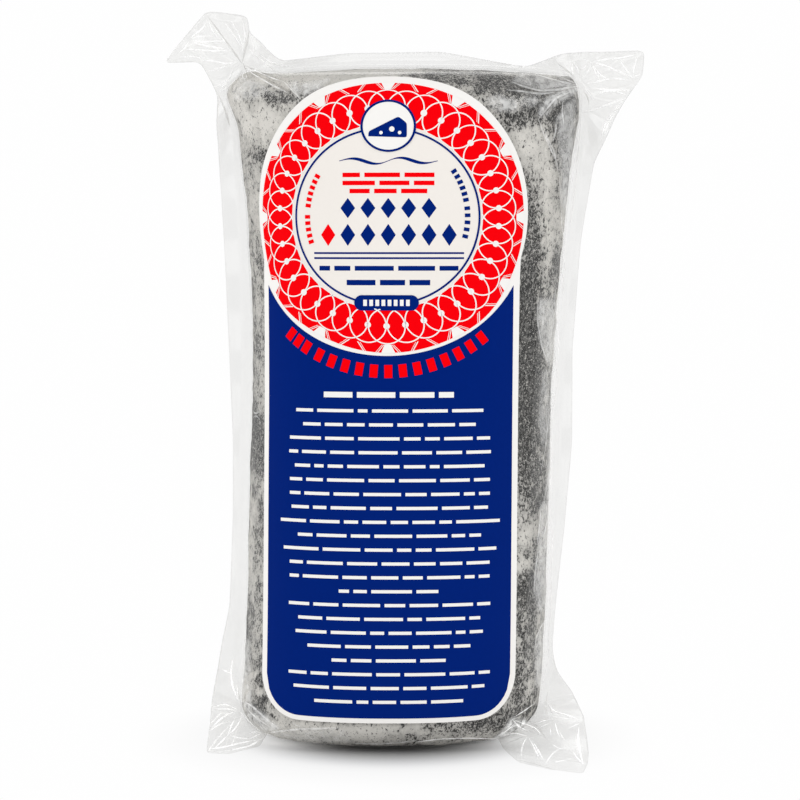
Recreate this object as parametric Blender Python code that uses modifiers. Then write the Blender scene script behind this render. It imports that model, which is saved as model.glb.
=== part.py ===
"""Vacuum-packed log of ash-rinded goat cheese, standing on its lower end.

Two solids: the sealed clear bag with the log inside it, and the sticker on its front.
Lengths in this file are millimetres, and the mesh builders turn them into metres.
+Z is up, -Y is the front with the sticker, and the origin is on the flat spot of the base.
"""

import math

import bmesh
import bpy
import numpy as np
from mathutils import Vector
from mathutils.geometry import delaunay_2d_cdt

MM = 0.001

# Log, as the tight film covers it
SHOULDER_HEIGHT = 116.0
TOP_CROWN = 0.8
HALF_WIDTH = 26.5
HALF_DEPTH = 19.5
SECTION_POWER = 2.2
FLARE = 4.2
FLARE_START = 55.0
LEAN = 0.0264
LEAN_HEIGHT = 48.0
FOOT_SHIFT = 0.9
FOOT_SHIFT_HEIGHT = 30.0
BASE_CROWN = 1.5
BASE_ROUND = 6.0
SHOULDER_ROUND_DEPTH = 8.0
SHOULDER_ROUND_WIDTH = 3.5
SECTION_SIDES = 64
ROUND_STEPS = 5
SIDE_LEVELS = 11
# Sizes of the sections under the base round, from the flat spot out, and over the shoulder, inwards
BASE_SCALES = (0.6, 0.75, 0.9)
CROWN_SCALES = (0.75, 0.4)

# Film that stands off the log: side fins, top seam and four ears
FILM_THICKNESS = 0.8
FILM_ROOT_INSET = 4.0
ROOT_SIDE_POINTS = 24
ROOT_TOP_POINTS = 16
FILM_MESH_SIZE = 1.7
FILM_MESH_MARGIN = 1.0
POINT_MERGE = 0.0001
EDGE_STEP = 1.5
EDGE_SMOOTHING = 2
FIN_WAVE_HEIGHT = 0.35
FIN_WAVE_PITCH = 13.0
FLOOR_CLEARANCE = 0.2

# Sticker: a round head on a straight body with round lower corners
LABEL_CENTRE_X = -2.25
LABEL_HEAD_HEIGHT = 91.9
LABEL_HEAD_RADIUS = 24.5
LABEL_HALF_WIDTH = 23.5
LABEL_FOOT_HEIGHT = 5.8
LABEL_CORNER_RADIUS = 8.0
LABEL_THICKNESS = 0.25
LABEL_GAP = 0.3
LABEL_COLUMNS = 20
LABEL_BODY_ROWS = 8
LABEL_ARC_ROWS = 9
LABEL_TOP_ANGLE = 87.0
ARC_SAMPLES = 721

# Looks
BAG_COLOUR = (0.42, 0.42, 0.41)
BAG_ROUGHNESS = 0.35
LABEL_COLOUR = (0.86, 0.85, 0.82)
LABEL_ROUGHNESS = 0.3
SMOOTH_ANGLE = 40.0

# Film edge as (x, z) corners, from the lower left ear up the left side, over the top and down the right.
# The lower ears are given flat, before they are bent forward on to the floor.
LOWER_LEFT_EAR = [(-21.4, 3.4), (-24.7, -4.4), (-36.8, -9.5), (-32.7, 8.2), (-32.3, 11.0)]
LEFT_FIN = [(-31.3, 17.0), (-30.0, 23.0), (-29.4, 38.0), (-29.3, 52.0), (-30.1, 72.0), (-30.8, 88.0), (-32.0, 107.4)]
UPPER_LEFT_EAR = [(-31.8, 112.7), (-34.8, 118.3), (-41.2, 118.1), (-33.8, 127.1), (-26.6, 126.0), (-26.0, 123.0)]
TOP_SEAM = [(-20.7, 118.3), (-9.7, 119.8), (7.2, 120.1), (21.8, 117.4)]
UPPER_RIGHT_EAR = [(28.6, 119.9), (42.6, 120.3), (42.3, 115.8), (38.7, 110.9), (33.9, 100.8)]
RIGHT_FIN = [(31.6, 87.3), (30.2, 68.0), (30.2, 52.0), (29.0, 38.0), (27.3, 22.5), (26.8, 15.5)]
LOWER_RIGHT_EAR = [(27.6, 11.6), (30.2, 7.8), (37.2, -26.5), (22.0, -16.0), (15.6, 3.2)]

# Pleats that fan out from each pinch: (x, z) of the pinch, number of pleats in a full turn, height at the edge
PLEATS = [((-26.5, 114.5), 9, 1.3), ((29.5, 112.5), 9, 1.3), ((-24.5, 7.0), 8, 0.7), ((22.5, 6.0), 9, 0.8)]
PLEAT_START = 3.5
PLEAT_GROWTH = 6.0
PLEAT_REACH = 15.0

# Creases of the lower ears: (x, z) at the log, angle of the crease going out, angle of the fold
CREASES = [((-21.5, 4.5), 160.0, 67.0), ((16.5, 4.0), 15.0, 76.0)]
CREASE_RADIUS = 1.0


def clear_scene():
    for item in list(bpy.data.objects):
        bpy.data.objects.remove(item, do_unlink=True)


def new_collection(name):
    collection = bpy.data.collections.new(name)
    bpy.context.scene.collection.children.link(collection)
    return collection


def new_material(name, colour, roughness):
    material = bpy.data.materials.new(name)
    material.use_nodes = True
    shader = material.node_tree.nodes["Principled BSDF"]
    shader.inputs["Base Color"].default_value = (*colour, 1.0)
    shader.inputs["Roughness"].default_value = roughness
    shader.inputs["Metallic"].default_value = 0.0
    return material


def new_object(name, shape, collection, material):
    mesh = bpy.data.meshes.new(name)
    shape.to_mesh(mesh)
    shape.free()
    mesh.materials.append(material)
    thing = bpy.data.objects.new(name, mesh)
    collection.objects.link(thing)
    return thing


def centre_x(height):
    """The log leans a little to the right as it rises, and its foot is squeezed to the left."""
    foot = max(0.0, 1.0 - height / FOOT_SHIFT_HEIGHT)
    return LEAN * (height - LEAN_HEIGHT) - FOOT_SHIFT * foot**2


def half_width(height):
    """The upper part widens towards the two corners that the film pulls out."""
    rise = max(0.0, height - FLARE_START) / (SHOULDER_HEIGHT - FLARE_START)
    return HALF_WIDTH + FLARE * rise**2


def log_level(travel):
    """Height, half width, half depth and upward slope at a distance along the front outline.

    The distance is the height on the straight side and the arc length on the two round ends.
    """
    base_edge = BASE_CROWN + BASE_ROUND
    shoulder_edge = SHOULDER_HEIGHT - SHOULDER_ROUND_DEPTH
    if travel < base_edge:
        angle = -(base_edge - travel) / BASE_ROUND
        height = base_edge + BASE_ROUND * math.sin(angle)
        inset = BASE_ROUND * (1.0 - math.cos(angle))
        return height, half_width(0.0) - inset, HALF_DEPTH - inset, angle
    if travel > shoulder_edge:
        angle = (travel - shoulder_edge) / SHOULDER_ROUND_DEPTH
        height = shoulder_edge + SHOULDER_ROUND_DEPTH * math.sin(angle)
        turn = 1.0 - math.cos(angle)
        wide = half_width(height) - SHOULDER_ROUND_WIDTH * turn
        return height, wide, HALF_DEPTH - SHOULDER_ROUND_DEPTH * turn, angle
    return travel, half_width(travel), HALF_DEPTH, 0.0


def section_points(wide, deep, angles):
    """Points of a rounded oval section, at the given angles from +X."""
    power = 2.0 / SECTION_POWER
    across = np.cos(angles)
    along = np.sin(angles)
    x = wide * np.sign(across) * np.abs(across) ** power
    y = deep * np.sign(along) * np.abs(along) ** power
    return x, y


def log_rings():
    """Sections of the log from the flat spot up to the crown, as (height, half width, half depth)."""
    quarter = 0.5 * math.pi
    base_edge = BASE_CROWN + BASE_ROUND
    shoulder_edge = SHOULDER_HEIGHT - SHOULDER_ROUND_DEPTH
    rings = []
    foot = log_level(base_edge - quarter * BASE_ROUND)
    for scale in BASE_SCALES:
        spread = (scale - BASE_SCALES[0]) / (1.0 - BASE_SCALES[0])
        rings.append((BASE_CROWN * spread**2, scale * foot[1], scale * foot[2]))
    for step in range(ROUND_STEPS + 1):
        turn = quarter * (1.0 - step / ROUND_STEPS)
        rings.append(log_level(base_edge - turn * BASE_ROUND)[:3])
    for step in range(1, SIDE_LEVELS):
        share = step / SIDE_LEVELS
        rings.append(log_level(base_edge + share * (shoulder_edge - base_edge))[:3])
    for step in range(ROUND_STEPS + 1):
        turn = quarter * step / ROUND_STEPS
        rings.append(log_level(shoulder_edge + turn * SHOULDER_ROUND_DEPTH)[:3])
    top = rings[-1]
    for scale in CROWN_SCALES:
        rings.append((top[0] + TOP_CROWN * (1.0 - scale**2), scale * top[1], scale * top[2]))
    return rings


def build_log(collection, material):
    """The log: a loft through sections that change in width, depth and place."""
    shape = bmesh.new()
    angles = np.arange(SECTION_SIDES) * 2.0 * math.pi / SECTION_SIDES
    loops = []
    for height, wide, deep in log_rings():
        x, y = section_points(wide, deep, angles)
        middle = centre_x(height)
        loops.append([shape.verts.new((MM * (middle + px), MM * py, MM * height)) for px, py in zip(x, y)])
    for lower, upper in zip(loops, loops[1:]):
        for i in range(SECTION_SIDES):
            j = (i + 1) % SECTION_SIDES
            shape.faces.new((lower[i], lower[j], upper[j], upper[i]))
    shape.faces.new(reversed(loops[0]))
    shape.faces.new(loops[-1])
    bmesh.ops.triangulate(shape, faces=shape.faces[:])
    return new_object("log", shape, collection, material)


def shaped_grid(columns, rows, place):
    """A grid primitive whose corners are moved to place(column, row), in millimetres."""
    shape = bmesh.new()
    bmesh.ops.create_grid(shape, x_segments=columns, y_segments=rows, size=1.0)
    for corner in shape.verts:
        column = round(0.5 * (corner.co.x + 1.0) * columns)
        row = round(0.5 * (corner.co.y + 1.0) * rows)
        corner.co = MM * Vector(place(column, row))
    return shape


def film_edge():
    """The film's edge as closely spaced (x, z) points with rounded corners."""
    corners = [
        *LOWER_LEFT_EAR,
        *LEFT_FIN,
        *UPPER_LEFT_EAR,
        *TOP_SEAM,
        *UPPER_RIGHT_EAR,
        *RIGHT_FIN,
        *LOWER_RIGHT_EAR,
    ]
    points = []
    for start, end in zip(corners, corners[1:]):
        count = max(1, round(math.dist(start, end) / EDGE_STEP))
        for step in range(count):
            points.append(Vector(start).lerp(Vector(end), step / count))
    points = np.array(points + [Vector(corners[-1])])
    for _ in range(EDGE_SMOOTHING):
        points[1:-1] = 0.25 * points[:-2] + 0.5 * points[1:-1] + 0.25 * points[2:]
    return points


def film_root():
    """The film's inner limit inside the log, from the right foot over the top to the left foot."""
    low = BASE_CROWN + 0.5 * BASE_ROUND
    high = SHOULDER_HEIGHT - FILM_ROOT_INSET
    heights = np.linspace(low, high, ROOT_SIDE_POINTS)
    right = [(centre_x(z) + half_width(z) - FILM_ROOT_INSET, z) for z in heights]
    left = [(centre_x(z) - half_width(z) + FILM_ROOT_INSET, z) for z in heights[::-1]]
    top = [(x, high) for x in np.linspace(right[-1][0], left[0][0], ROOT_TOP_POINTS)[1:-1]]
    return np.array(right + top + left)


def bent_point(x, z, lift):
    """A point of the flat sheet, raised by lift and folded forward round a lower ear's crease."""
    point = Vector((x, lift, z))
    for (crease_x, crease_z), turn, fold in CREASES:
        start = Vector((crease_x, 0.0, crease_z))
        along = Vector((math.cos(math.radians(turn)), 0.0, math.sin(math.radians(turn))))
        down = Vector((math.copysign(along.z, crease_x), 0.0, -abs(along.x)))
        offset = Vector((x, 0.0, z)) - start
        distance = offset.dot(down)
        if distance <= 0.0 or x * crease_x <= 0.0:
            continue
        angle = min(distance / CREASE_RADIUS, math.radians(fold))
        rest = distance - CREASE_RADIUS * angle
        drop = CREASE_RADIUS * math.sin(angle) + rest * math.cos(angle)
        forward = CREASE_RADIUS * (1.0 - math.cos(angle)) + rest * math.sin(angle)
        point = start + offset.dot(along) * along + (drop + lift * math.sin(angle)) * down
        point.y = lift * math.cos(angle) - forward
    point.z = max(point.z, 0.5 * FILM_THICKNESS + FLOOR_CLEARANCE)
    return point


def film_pleats(x, z):
    """Pleats that fan out from the pinches, and slow waves along the fins."""
    lift = FIN_WAVE_HEIGHT * math.sin(2.0 * math.pi * z / FIN_WAVE_PITCH)
    for (pinch_x, pinch_z), count, height in PLEATS:
        distance = math.hypot(x - pinch_x, z - pinch_z)
        turn = math.atan2(z - pinch_z, x - pinch_x)
        grown = min(1.0, max(0.0, distance - PLEAT_START) / PLEAT_GROWTH)
        near = math.exp(-((distance / PLEAT_REACH) ** 4))
        lift += height * grown * near * math.sin(count * turn)
    return lift


def build_film(collection, material):
    """The film round the log: a flat sheet, cut to its outline, then pleated and bent."""
    outline = np.concatenate((film_edge(), film_root()))
    low = outline.min(axis=0)
    high = outline.max(axis=0)
    inner = []
    row_step = FILM_MESH_SIZE * math.sqrt(0.75)
    for row in range(int((high[1] - low[1]) / row_step) + 1):
        for column in range(int((high[0] - low[0]) / FILM_MESH_SIZE) + 1):
            shift = 0.5 * (row % 2)
            point = low + np.array(((column + shift) * FILM_MESH_SIZE, row * row_step))
            if np.hypot(*(outline - point).T).min() > FILM_MESH_MARGIN:
                inner.append(point)
    corners = [Vector(point) for point in (*outline, *inner)]
    sheet = delaunay_2d_cdt(corners, [], [list(range(len(outline)))], 1, POINT_MERGE)
    shape = bmesh.new()
    verts = []
    for x, z in sheet[0]:
        verts.append(shape.verts.new(MM * bent_point(x, z, film_pleats(x, z))))
    for face in sheet[2]:
        shape.faces.new([verts[i] for i in face])
    film = new_object("film", shape, collection, material)
    skin = film.modifiers.new("thickness", "SOLIDIFY")
    skin.thickness = MM * FILM_THICKNESS
    skin.offset = 0.0
    return film


def label_rows():
    """Rows of the sticker's outline as (distance along the front, half width), from the foot up."""
    rows = []
    corner_top = LABEL_FOOT_HEIGHT + LABEL_CORNER_RADIUS
    inner = LABEL_HALF_WIDTH - LABEL_CORNER_RADIUS
    for step in range(LABEL_ARC_ROWS):
        angle = 0.5 * math.pi * step / LABEL_ARC_ROWS
        travel = corner_top - LABEL_CORNER_RADIUS * math.cos(angle)
        rows.append((travel, inner + LABEL_CORNER_RADIUS * math.sin(angle)))
    joint_angle = -math.acos(LABEL_HALF_WIDTH / LABEL_HEAD_RADIUS)
    joint_height = LABEL_HEAD_HEIGHT + LABEL_HEAD_RADIUS * math.sin(joint_angle)
    for step in range(LABEL_BODY_ROWS):
        share = step / LABEL_BODY_ROWS
        rows.append((corner_top + share * (joint_height - corner_top), LABEL_HALF_WIDTH))
    last_angle = math.radians(LABEL_TOP_ANGLE)
    for step in range(2 * LABEL_ARC_ROWS + 1):
        angle = joint_angle + (last_angle - joint_angle) * step / (2 * LABEL_ARC_ROWS)
        travel = LABEL_HEAD_HEIGHT + LABEL_HEAD_RADIUS * math.sin(angle)
        rows.append((travel, LABEL_HEAD_RADIUS * math.cos(angle)))
    return rows


def label_point(across, travel):
    """A point just off the log's front, at an arc length from the sticker's centre line."""
    height, wide, deep, slope = log_level(travel)
    angles = np.linspace(math.pi, 2.0 * math.pi, ARC_SAMPLES)
    x, y = section_points(wide, deep, angles)
    steps = np.hypot(np.diff(x), np.diff(y))
    length = np.concatenate(([0.0], np.cumsum(steps)))
    start = np.interp(LABEL_CENTRE_X - centre_x(height), x, length)
    px = np.interp(start + across, length, x)
    py = np.interp(start + across, length, y)
    steep = SECTION_POWER - 1.0
    nx = math.copysign(abs(px / wide) ** steep / wide, px)
    ny = -(abs(py / deep) ** steep) / deep
    size = math.hypot(nx, ny)
    lift = LABEL_GAP * math.cos(slope)
    return (
        centre_x(height) + px + lift * nx / size,
        py + lift * ny / size,
        height + LABEL_GAP * math.sin(slope),
    )


def build_label(collection, material):
    rows = label_rows()

    def place(column, row):
        travel, half = rows[row]
        across = half * (2.0 * column / LABEL_COLUMNS - 1.0)
        return label_point(across, travel)

    label = new_object("label", shaped_grid(LABEL_COLUMNS, len(rows) - 1, place), collection, material)
    paper = label.modifiers.new("thickness", "SOLIDIFY")
    paper.thickness = MM * LABEL_THICKNESS
    paper.offset = 1.0
    return label


def join_solids(name, collection, material, pieces):
    """One solid from the pieces' collection, which is emptied afterwards."""
    bag = new_object(name, bmesh.new(), collection, material)
    union = bag.modifiers.new("union", "BOOLEAN")
    union.operation = "UNION"
    union.solver = "EXACT"
    union.operand_type = "COLLECTION"
    union.collection = pieces
    bpy.context.view_layer.update()
    whole = bag.evaluated_get(bpy.context.evaluated_depsgraph_get())
    joined = bpy.data.meshes.new_from_object(whole)
    bag.modifiers.clear()
    bag.data = joined
    for piece in list(pieces.objects):
        bpy.data.objects.remove(piece, do_unlink=True)
    bpy.data.collections.remove(pieces)
    return bag


def finish_shading(thing):
    thing.data.shade_smooth()
    thing.data.set_sharp_from_angle(angle=math.radians(SMOOTH_ANGLE))


def main():
    clear_scene()
    pack = new_collection("cheese_pack")
    pieces = new_collection("bag_pieces")
    bag_look = new_material("ash_rind_under_film", BAG_COLOUR, BAG_ROUGHNESS)
    label_look = new_material("label_paper", LABEL_COLOUR, LABEL_ROUGHNESS)
    build_log(pieces, bag_look)
    build_film(pieces, bag_look)
    bag = join_solids("sealed_bag", pack, bag_look, pieces)
    finish_shading(bag)
    label = build_label(pack, label_look)
    finish_shading(label)


main()
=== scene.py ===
"""Looks of a vacuum-packed, ash-rinded goat cheese log: rind, clear bag, printed sticker and studio.

Lengths in this file are millimetres, and the mesh builders turn them into metres. The form of
the log, the outline of its bag and the outline of its sticker are those of the fixed frame.
"""

import math

import bmesh
import bpy
import numpy as np
from bpy.props import FloatProperty, FloatVectorProperty, IntProperty, PointerProperty
from bpy.types import Operator, Panel, PropertyGroup
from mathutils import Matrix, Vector, noise
from mathutils.bvhtree import BVHTree
from mathutils.geometry import delaunay_2d_cdt


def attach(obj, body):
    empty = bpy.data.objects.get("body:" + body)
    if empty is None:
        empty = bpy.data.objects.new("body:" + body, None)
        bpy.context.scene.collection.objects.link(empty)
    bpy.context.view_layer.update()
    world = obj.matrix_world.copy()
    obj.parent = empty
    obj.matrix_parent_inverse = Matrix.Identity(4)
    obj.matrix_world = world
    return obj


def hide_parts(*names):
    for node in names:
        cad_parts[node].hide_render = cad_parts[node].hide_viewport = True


bl_info = {
    "name": "Vacuum-Packed Goat Cheese Log",
    "version": (1, 0, 0),
    "blender": (4, 5, 0),
    "location": "3D View > Sidebar > Cheese Pack",
    "description": "Dresses a fixed frame as an ash-rinded cheese log in a clear bag with a sticker",
    "category": "Add Mesh",
}

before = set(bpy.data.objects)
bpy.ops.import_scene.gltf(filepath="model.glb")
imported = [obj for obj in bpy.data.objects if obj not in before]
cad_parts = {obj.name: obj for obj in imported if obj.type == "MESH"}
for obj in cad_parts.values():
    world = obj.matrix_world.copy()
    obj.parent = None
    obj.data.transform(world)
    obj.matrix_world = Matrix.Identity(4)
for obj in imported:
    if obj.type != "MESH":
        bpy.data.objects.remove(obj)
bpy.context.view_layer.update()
BODY = "root"
MM = 0.001
TURN = 2.0 * math.pi
TINY = 1e-9

# Log, as the tight film covers it
SHOULDER_HEIGHT = 116.0
TOP_CROWN = 1.4
HALF_WIDTH = 26.5
HALF_DEPTH = 19.5
SECTION_POWER = 2.2
FLARE = 4.2
FLARE_START = 55.0
LEAN = 0.0264
LEAN_HEIGHT = 48.0
FOOT_SHIFT = 0.9
FOOT_SHIFT_HEIGHT = 30.0
BASE_CROWN = 0.45
BASE_FLAT = 0.6
BASE_ROUND = 5.5
SHOULDER_ROUND_DEPTH = 8.0
SHOULDER_ROUND_WIDTH = 3.5
FOOT_RISE = 1.05
FOOT_RISE_HEIGHT = 15.0
HORN_START = 0.75
HORN_BULGES = ((112.0, 3.2, 1.9), (106.0, 9.0, 0.6))
PEAK_START = 0.7
PEAK_RISE = 1.2
PEAK_HEIGHT = 106.0
PEAK_SPAN = 8.0
BASE_EDGE = BASE_CROWN + BASE_ROUND
SHOULDER_EDGE = SHOULDER_HEIGHT - SHOULDER_ROUND_DEPTH
QUARTER = 0.5 * math.pi
BASE_TRAVEL = BASE_EDGE - QUARTER * BASE_ROUND
TOP_TRAVEL = SHOULDER_EDGE + QUARTER * SHOULDER_ROUND_DEPTH
CROWN_SAMPLES = 200
SIDE_SAMPLES = 1600
ROUND_SAMPLES = 2881

# Lumps of the rind and of the film on it: height as a share, size and seed
RIND_LUMPS = ((0.6, 9.0, 1), (0.4, 2.2, 2))
FILM_LUMPS = (0.12, 9.0, 1)
LUMP_OCTAVES = 2
NOISE_SHIFT = (17.3, -9.1, 5.7)
LEAST_GAP = 0.1

# Edge of the bag as (x, z) corners, from the lower left ear up the left side, over the top and down
# the right. The lower ears are given flat, before they are bent forward on to the floor.
LOWER_LEFT_EAR = [(-21.4, 3.4), (-27.0, -7.2), (-33.4, -13.4), (-36.9, -10.6), (-32.9, 8.0), (-32.3, 11.0)]
LEFT_FIN = [
    (-31.3, 17.0), (-30.0, 23.0), (-29.4, 38.0), (-29.3, 52.0), (-30.1, 72.0), (-30.8, 88.0),
    (-32.0, 107.4),
]
UPPER_LEFT_EAR = [
    (-31.8, 112.7), (-34.8, 118.3), (-41.2, 118.1), (-33.8, 127.1), (-26.4, 126.3), (-26.3, 123.3),
    (-24.7, 122.3), (-22.7, 120.1),
]
TOP_SEAM = [(-20.7, 118.4), (-9.7, 119.8), (7.2, 120.1), (21.8, 117.4)]
UPPER_RIGHT_EAR = [(28.6, 119.9), (42.6, 120.3), (42.3, 115.8), (38.7, 110.9), (33.9, 100.8)]
RIGHT_FIN = [(31.6, 87.3), (30.2, 68.0), (30.2, 52.0), (29.0, 38.0), (27.3, 22.5), (26.8, 15.5)]
LOWER_RIGHT_EAR = [
    (27.6, 11.6), (30.6, 7.6), (33.6, -1.5), (36.6, -17.0), (37.3, -29.8), (30.9, -27.2), (25.2, -22.5),
    (22.4, -15.2), (18.8, -5.5), (15.6, 3.2),
]
EDGE_STEP = 0.6
EDGE_SMOOTHING = 4
ROOT_INSET = 4.0
ROOT_STEP = 0.8
MESH_MARGIN = 0.65
POINT_MERGE = 0.0001

# Slow waves of the fins, and pleats that fan out from each pinch:
# (x, z) of the pinch, number of pleats in a full turn, height at the edge
FIN_WAVE_HEIGHT = 0.15
FIN_WAVE_PITCH = 13.0
PLEATS = [((-26.5, 114.5), 9, 0.9), ((29.5, 112.5), 9, 0.9), ((-24.5, 7.0), 8, 0.15), ((22.5, 6.0), 9, 0.2)]
LOWER_EAR_HEIGHT = 20.0
LOWER_EAR_MILK = 0.9
PLEAT_START = 3.5
PLEAT_GROWTH = 6.0
PLEAT_REACH = 15.0

# Creases of the lower ears: (x, z) at the log, angle of the crease going out, angle of the fold
CREASES = [((-21.5, 4.5), 160.0, 67.0), ((16.5, 4.0), 15.0, 76.0)]
CREASE_RADIUS = 1.0
FLOOR_CLEARANCE = 0.1

# How the two sheets of the bag leave the log and meet
WEB_SLOPE_ACROSS = 2.4
WEB_SLOPE_UP = 6.0
WEB_STEP = 0.25
WEB_ACROSS = (-46.0, 46.0)
WEB_UP = (-30.0, 130.0)
WEB_SAMPLES = 1200
WEB_SMOOTHING = 3
WEB_LOW = 6.0
WEB_FADE = 8.0
SEAL_WIDTH = 1.6
PLEAT_WEB = 2.0
MILK_WEB = 3.0
LOOSE_HAZE = 0.4
PUFF_SHARE = 0.5

# Front and back sheet: seed of the folds and direction, and where the folds begin on the log
FILM_SIDES = ((1, -1.0), (2, 1.0))
FOLD_SHARE = 0.6
FOLDS_START = 1.0
FOLDS_SPAN = 4.0

# Stars of facets in the film: (x, z) of the middle of a star, rays, height, reach
STARS = [
    ((-27.5, 118.0), 11, 0.35, 12.0), ((-34.0, 121.0), 9, 0.35, 10.0), ((31.5, 114.5), 13, 0.35, 12.0),
    ((36.0, 117.5), 9, 0.35, 10.0), ((-29.5, 1.5), 9, 0.15, 9.0), ((27.5, 2.5), 9, 0.15, 8.0),
    ((29.0, -8.0), 9, 0.15, 9.0),
]
STAR_GROWTH = 2.0
RAY_JITTER = 0.75
LEAST_HEIGHT = 0.35
LEAST_REACH = 0.45
REACH_SPREAD = 0.75
RAY_BEND = 0.3
RAY_BEND_UP = 0.45
RAY_BEND_ACROSS = 0.5

# Folds, haze, painted sheen and ash are placed by the picture's pixels and then lie on the pack.
# Bright folds, white lines that are partly whitened stretched film and partly painted highlight where a
# crease would glint: first those of the upper left ear and of the corner under it
UPPER_LEFT_FOLDS = [
    ((207, 19), (204, 27), (197, 33), (190, 38)), ((208, 19), (212, 30), (218, 38)),
    ((210, 20), (216, 30), (222, 38), (229, 46)), ((191, 38), (200, 36), (213, 36)),
    ((191, 40), (203, 42), (215, 41), (226, 41)), ((192, 42), (206, 46), (220, 48), (231, 49)),
    ((186, 49), (200, 50), (215, 51), (231, 50)), ((178, 54), (186, 47), (189, 41)),
    ((180, 57), (190, 56), (205, 58)), ((200, 60), (214, 61), (226, 64), (236, 62)),
    ((206, 72), (215, 69), (224, 67), (229, 65)), ((213, 88), (219, 86), (226, 80)),
    ((218, 93), (226, 88), (236, 80), (243, 71)), ((219, 92), (225, 84), (231, 76), (234, 66)),
    ((224, 22), (230, 30), (236, 38), (241, 46)), ((231, 21), (238, 33), (243, 46), (242, 54)),
    ((243, 22), (245, 34), (243, 50)), ((252, 36), (254, 45), (253, 53)),
    ((250, 50), (258, 58), (267, 64), (277, 73)), ((256, 52), (266, 60), (280, 66), (296, 67)),
    ((246, 66), (258, 72), (272, 78), (284, 82)), ((246, 69), (258, 77), (272, 85), (288, 93)),
    ((284, 82), (290, 88), (296, 94), (301, 100)), ((287, 82), (293, 89), (299, 96)),
    ((237, 77), (232, 84), (228, 93)), ((244, 72), (241, 78), (247, 80), (246, 73)),
]
UPPER_RIGHT_FOLDS = [
    ((592, 62), (582, 59), (573, 60)), ((592, 62), (586, 66), (580, 70)), ((592, 62), (588, 72), (581, 81)),
    ((592, 62), (595, 72), (600, 80)), ((594, 66), (600, 75), (609, 80)),
    ((592, 62), (604, 65), (618, 71), (632, 77)), ((592, 62), (606, 59), (620, 58), (638, 54)),
    ((572, 60), (569, 64), (563, 67)), ((572, 60), (572, 70), (573, 79)), ((572, 60), (577, 67), (580, 76)),
    ((620, 61), (626, 69), (632, 78)), ((638, 55), (634, 66), (633, 77)), ((641, 74), (633, 77)),
    ((584, 84), (600, 81), (612, 78), (630, 80)), ((588, 88), (600, 89), (615, 90), (629, 90)),
    ((597, 95), (604, 91), (615, 91), (627, 95)), ((583, 88), (590, 94), (594, 101)),
    ((582, 112), (592, 110), (606, 105), (624, 99)), ((625, 100), (616, 110), (608, 123), (603, 138)),
    ((622, 101), (612, 112), (605, 125), (601, 140)),
]
# Bright folds of the lower ears, likewise partly whitened film and partly painted highlight
LOWER_LEFT_FOLDS = [
    ((238, 710), (226, 704), (212, 707)), ((238, 711), (228, 709), (212, 709)),
    ((237, 711), (228, 714), (219, 720), (212, 728)), ((228, 735), (231, 726), (236, 717)),
    ((228, 735), (235, 729), (240, 721), (242, 715)), ((228, 735), (222, 741), (215, 748)),
    ((229, 735), (238, 738), (250, 739)), ((249, 734), (255, 731), (261, 733)),
    ((249, 739), (256, 736), (262, 733)), ((210, 749), (225, 747), (240, 743), (257, 740)),
    ((214, 753), (232, 750), (250, 746), (263, 738)), ((222, 669), (226, 672), (231, 673)),
    ((233, 658), (231, 672), (232, 685), (238, 700)), ((237, 684), (238, 697)),
    ((239, 711), (244, 716), (250, 722), (262, 733)), ((415, 742), (440, 739), (470, 738), (500, 739)),
]
LOWER_RIGHT_FOLDS = [
    ((548, 703), (553, 711), (565, 714), (580, 720)), ((553, 716), (562, 718), (571, 719)),
    ((566, 729), (572, 727), (580, 723)), ((553, 719), (543, 721), (534, 724)),
    ((551, 722), (544, 726), (536, 728)), ((550, 727), (551, 735)), ((555, 722), (557, 731), (560, 738)),
    ((552, 744), (559, 749), (567, 748)), ((545, 764), (550, 757), (555, 751), (561, 749)),
    ((529, 738), (534, 747), (538, 756), (544, 763)), ((532, 740), (538, 750), (544, 761)),
    ((545, 764), (556, 762), (566, 760), (573, 758)), ((573, 752), (578, 759), (584, 765)),
    ((579, 727), (578, 740), (580, 752), (583, 764)), ((527, 737), (523, 744), (521, 752), (522, 760)),
    ((512, 719), (519, 727), (530, 732)), ((514, 720), (525, 724), (536, 728), (541, 735)),
    ((500, 736), (515, 733), (527, 736)), ((493, 739), (508, 730), (516, 722)),
    ((514, 717), (524, 711), (535, 703)),
]
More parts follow.
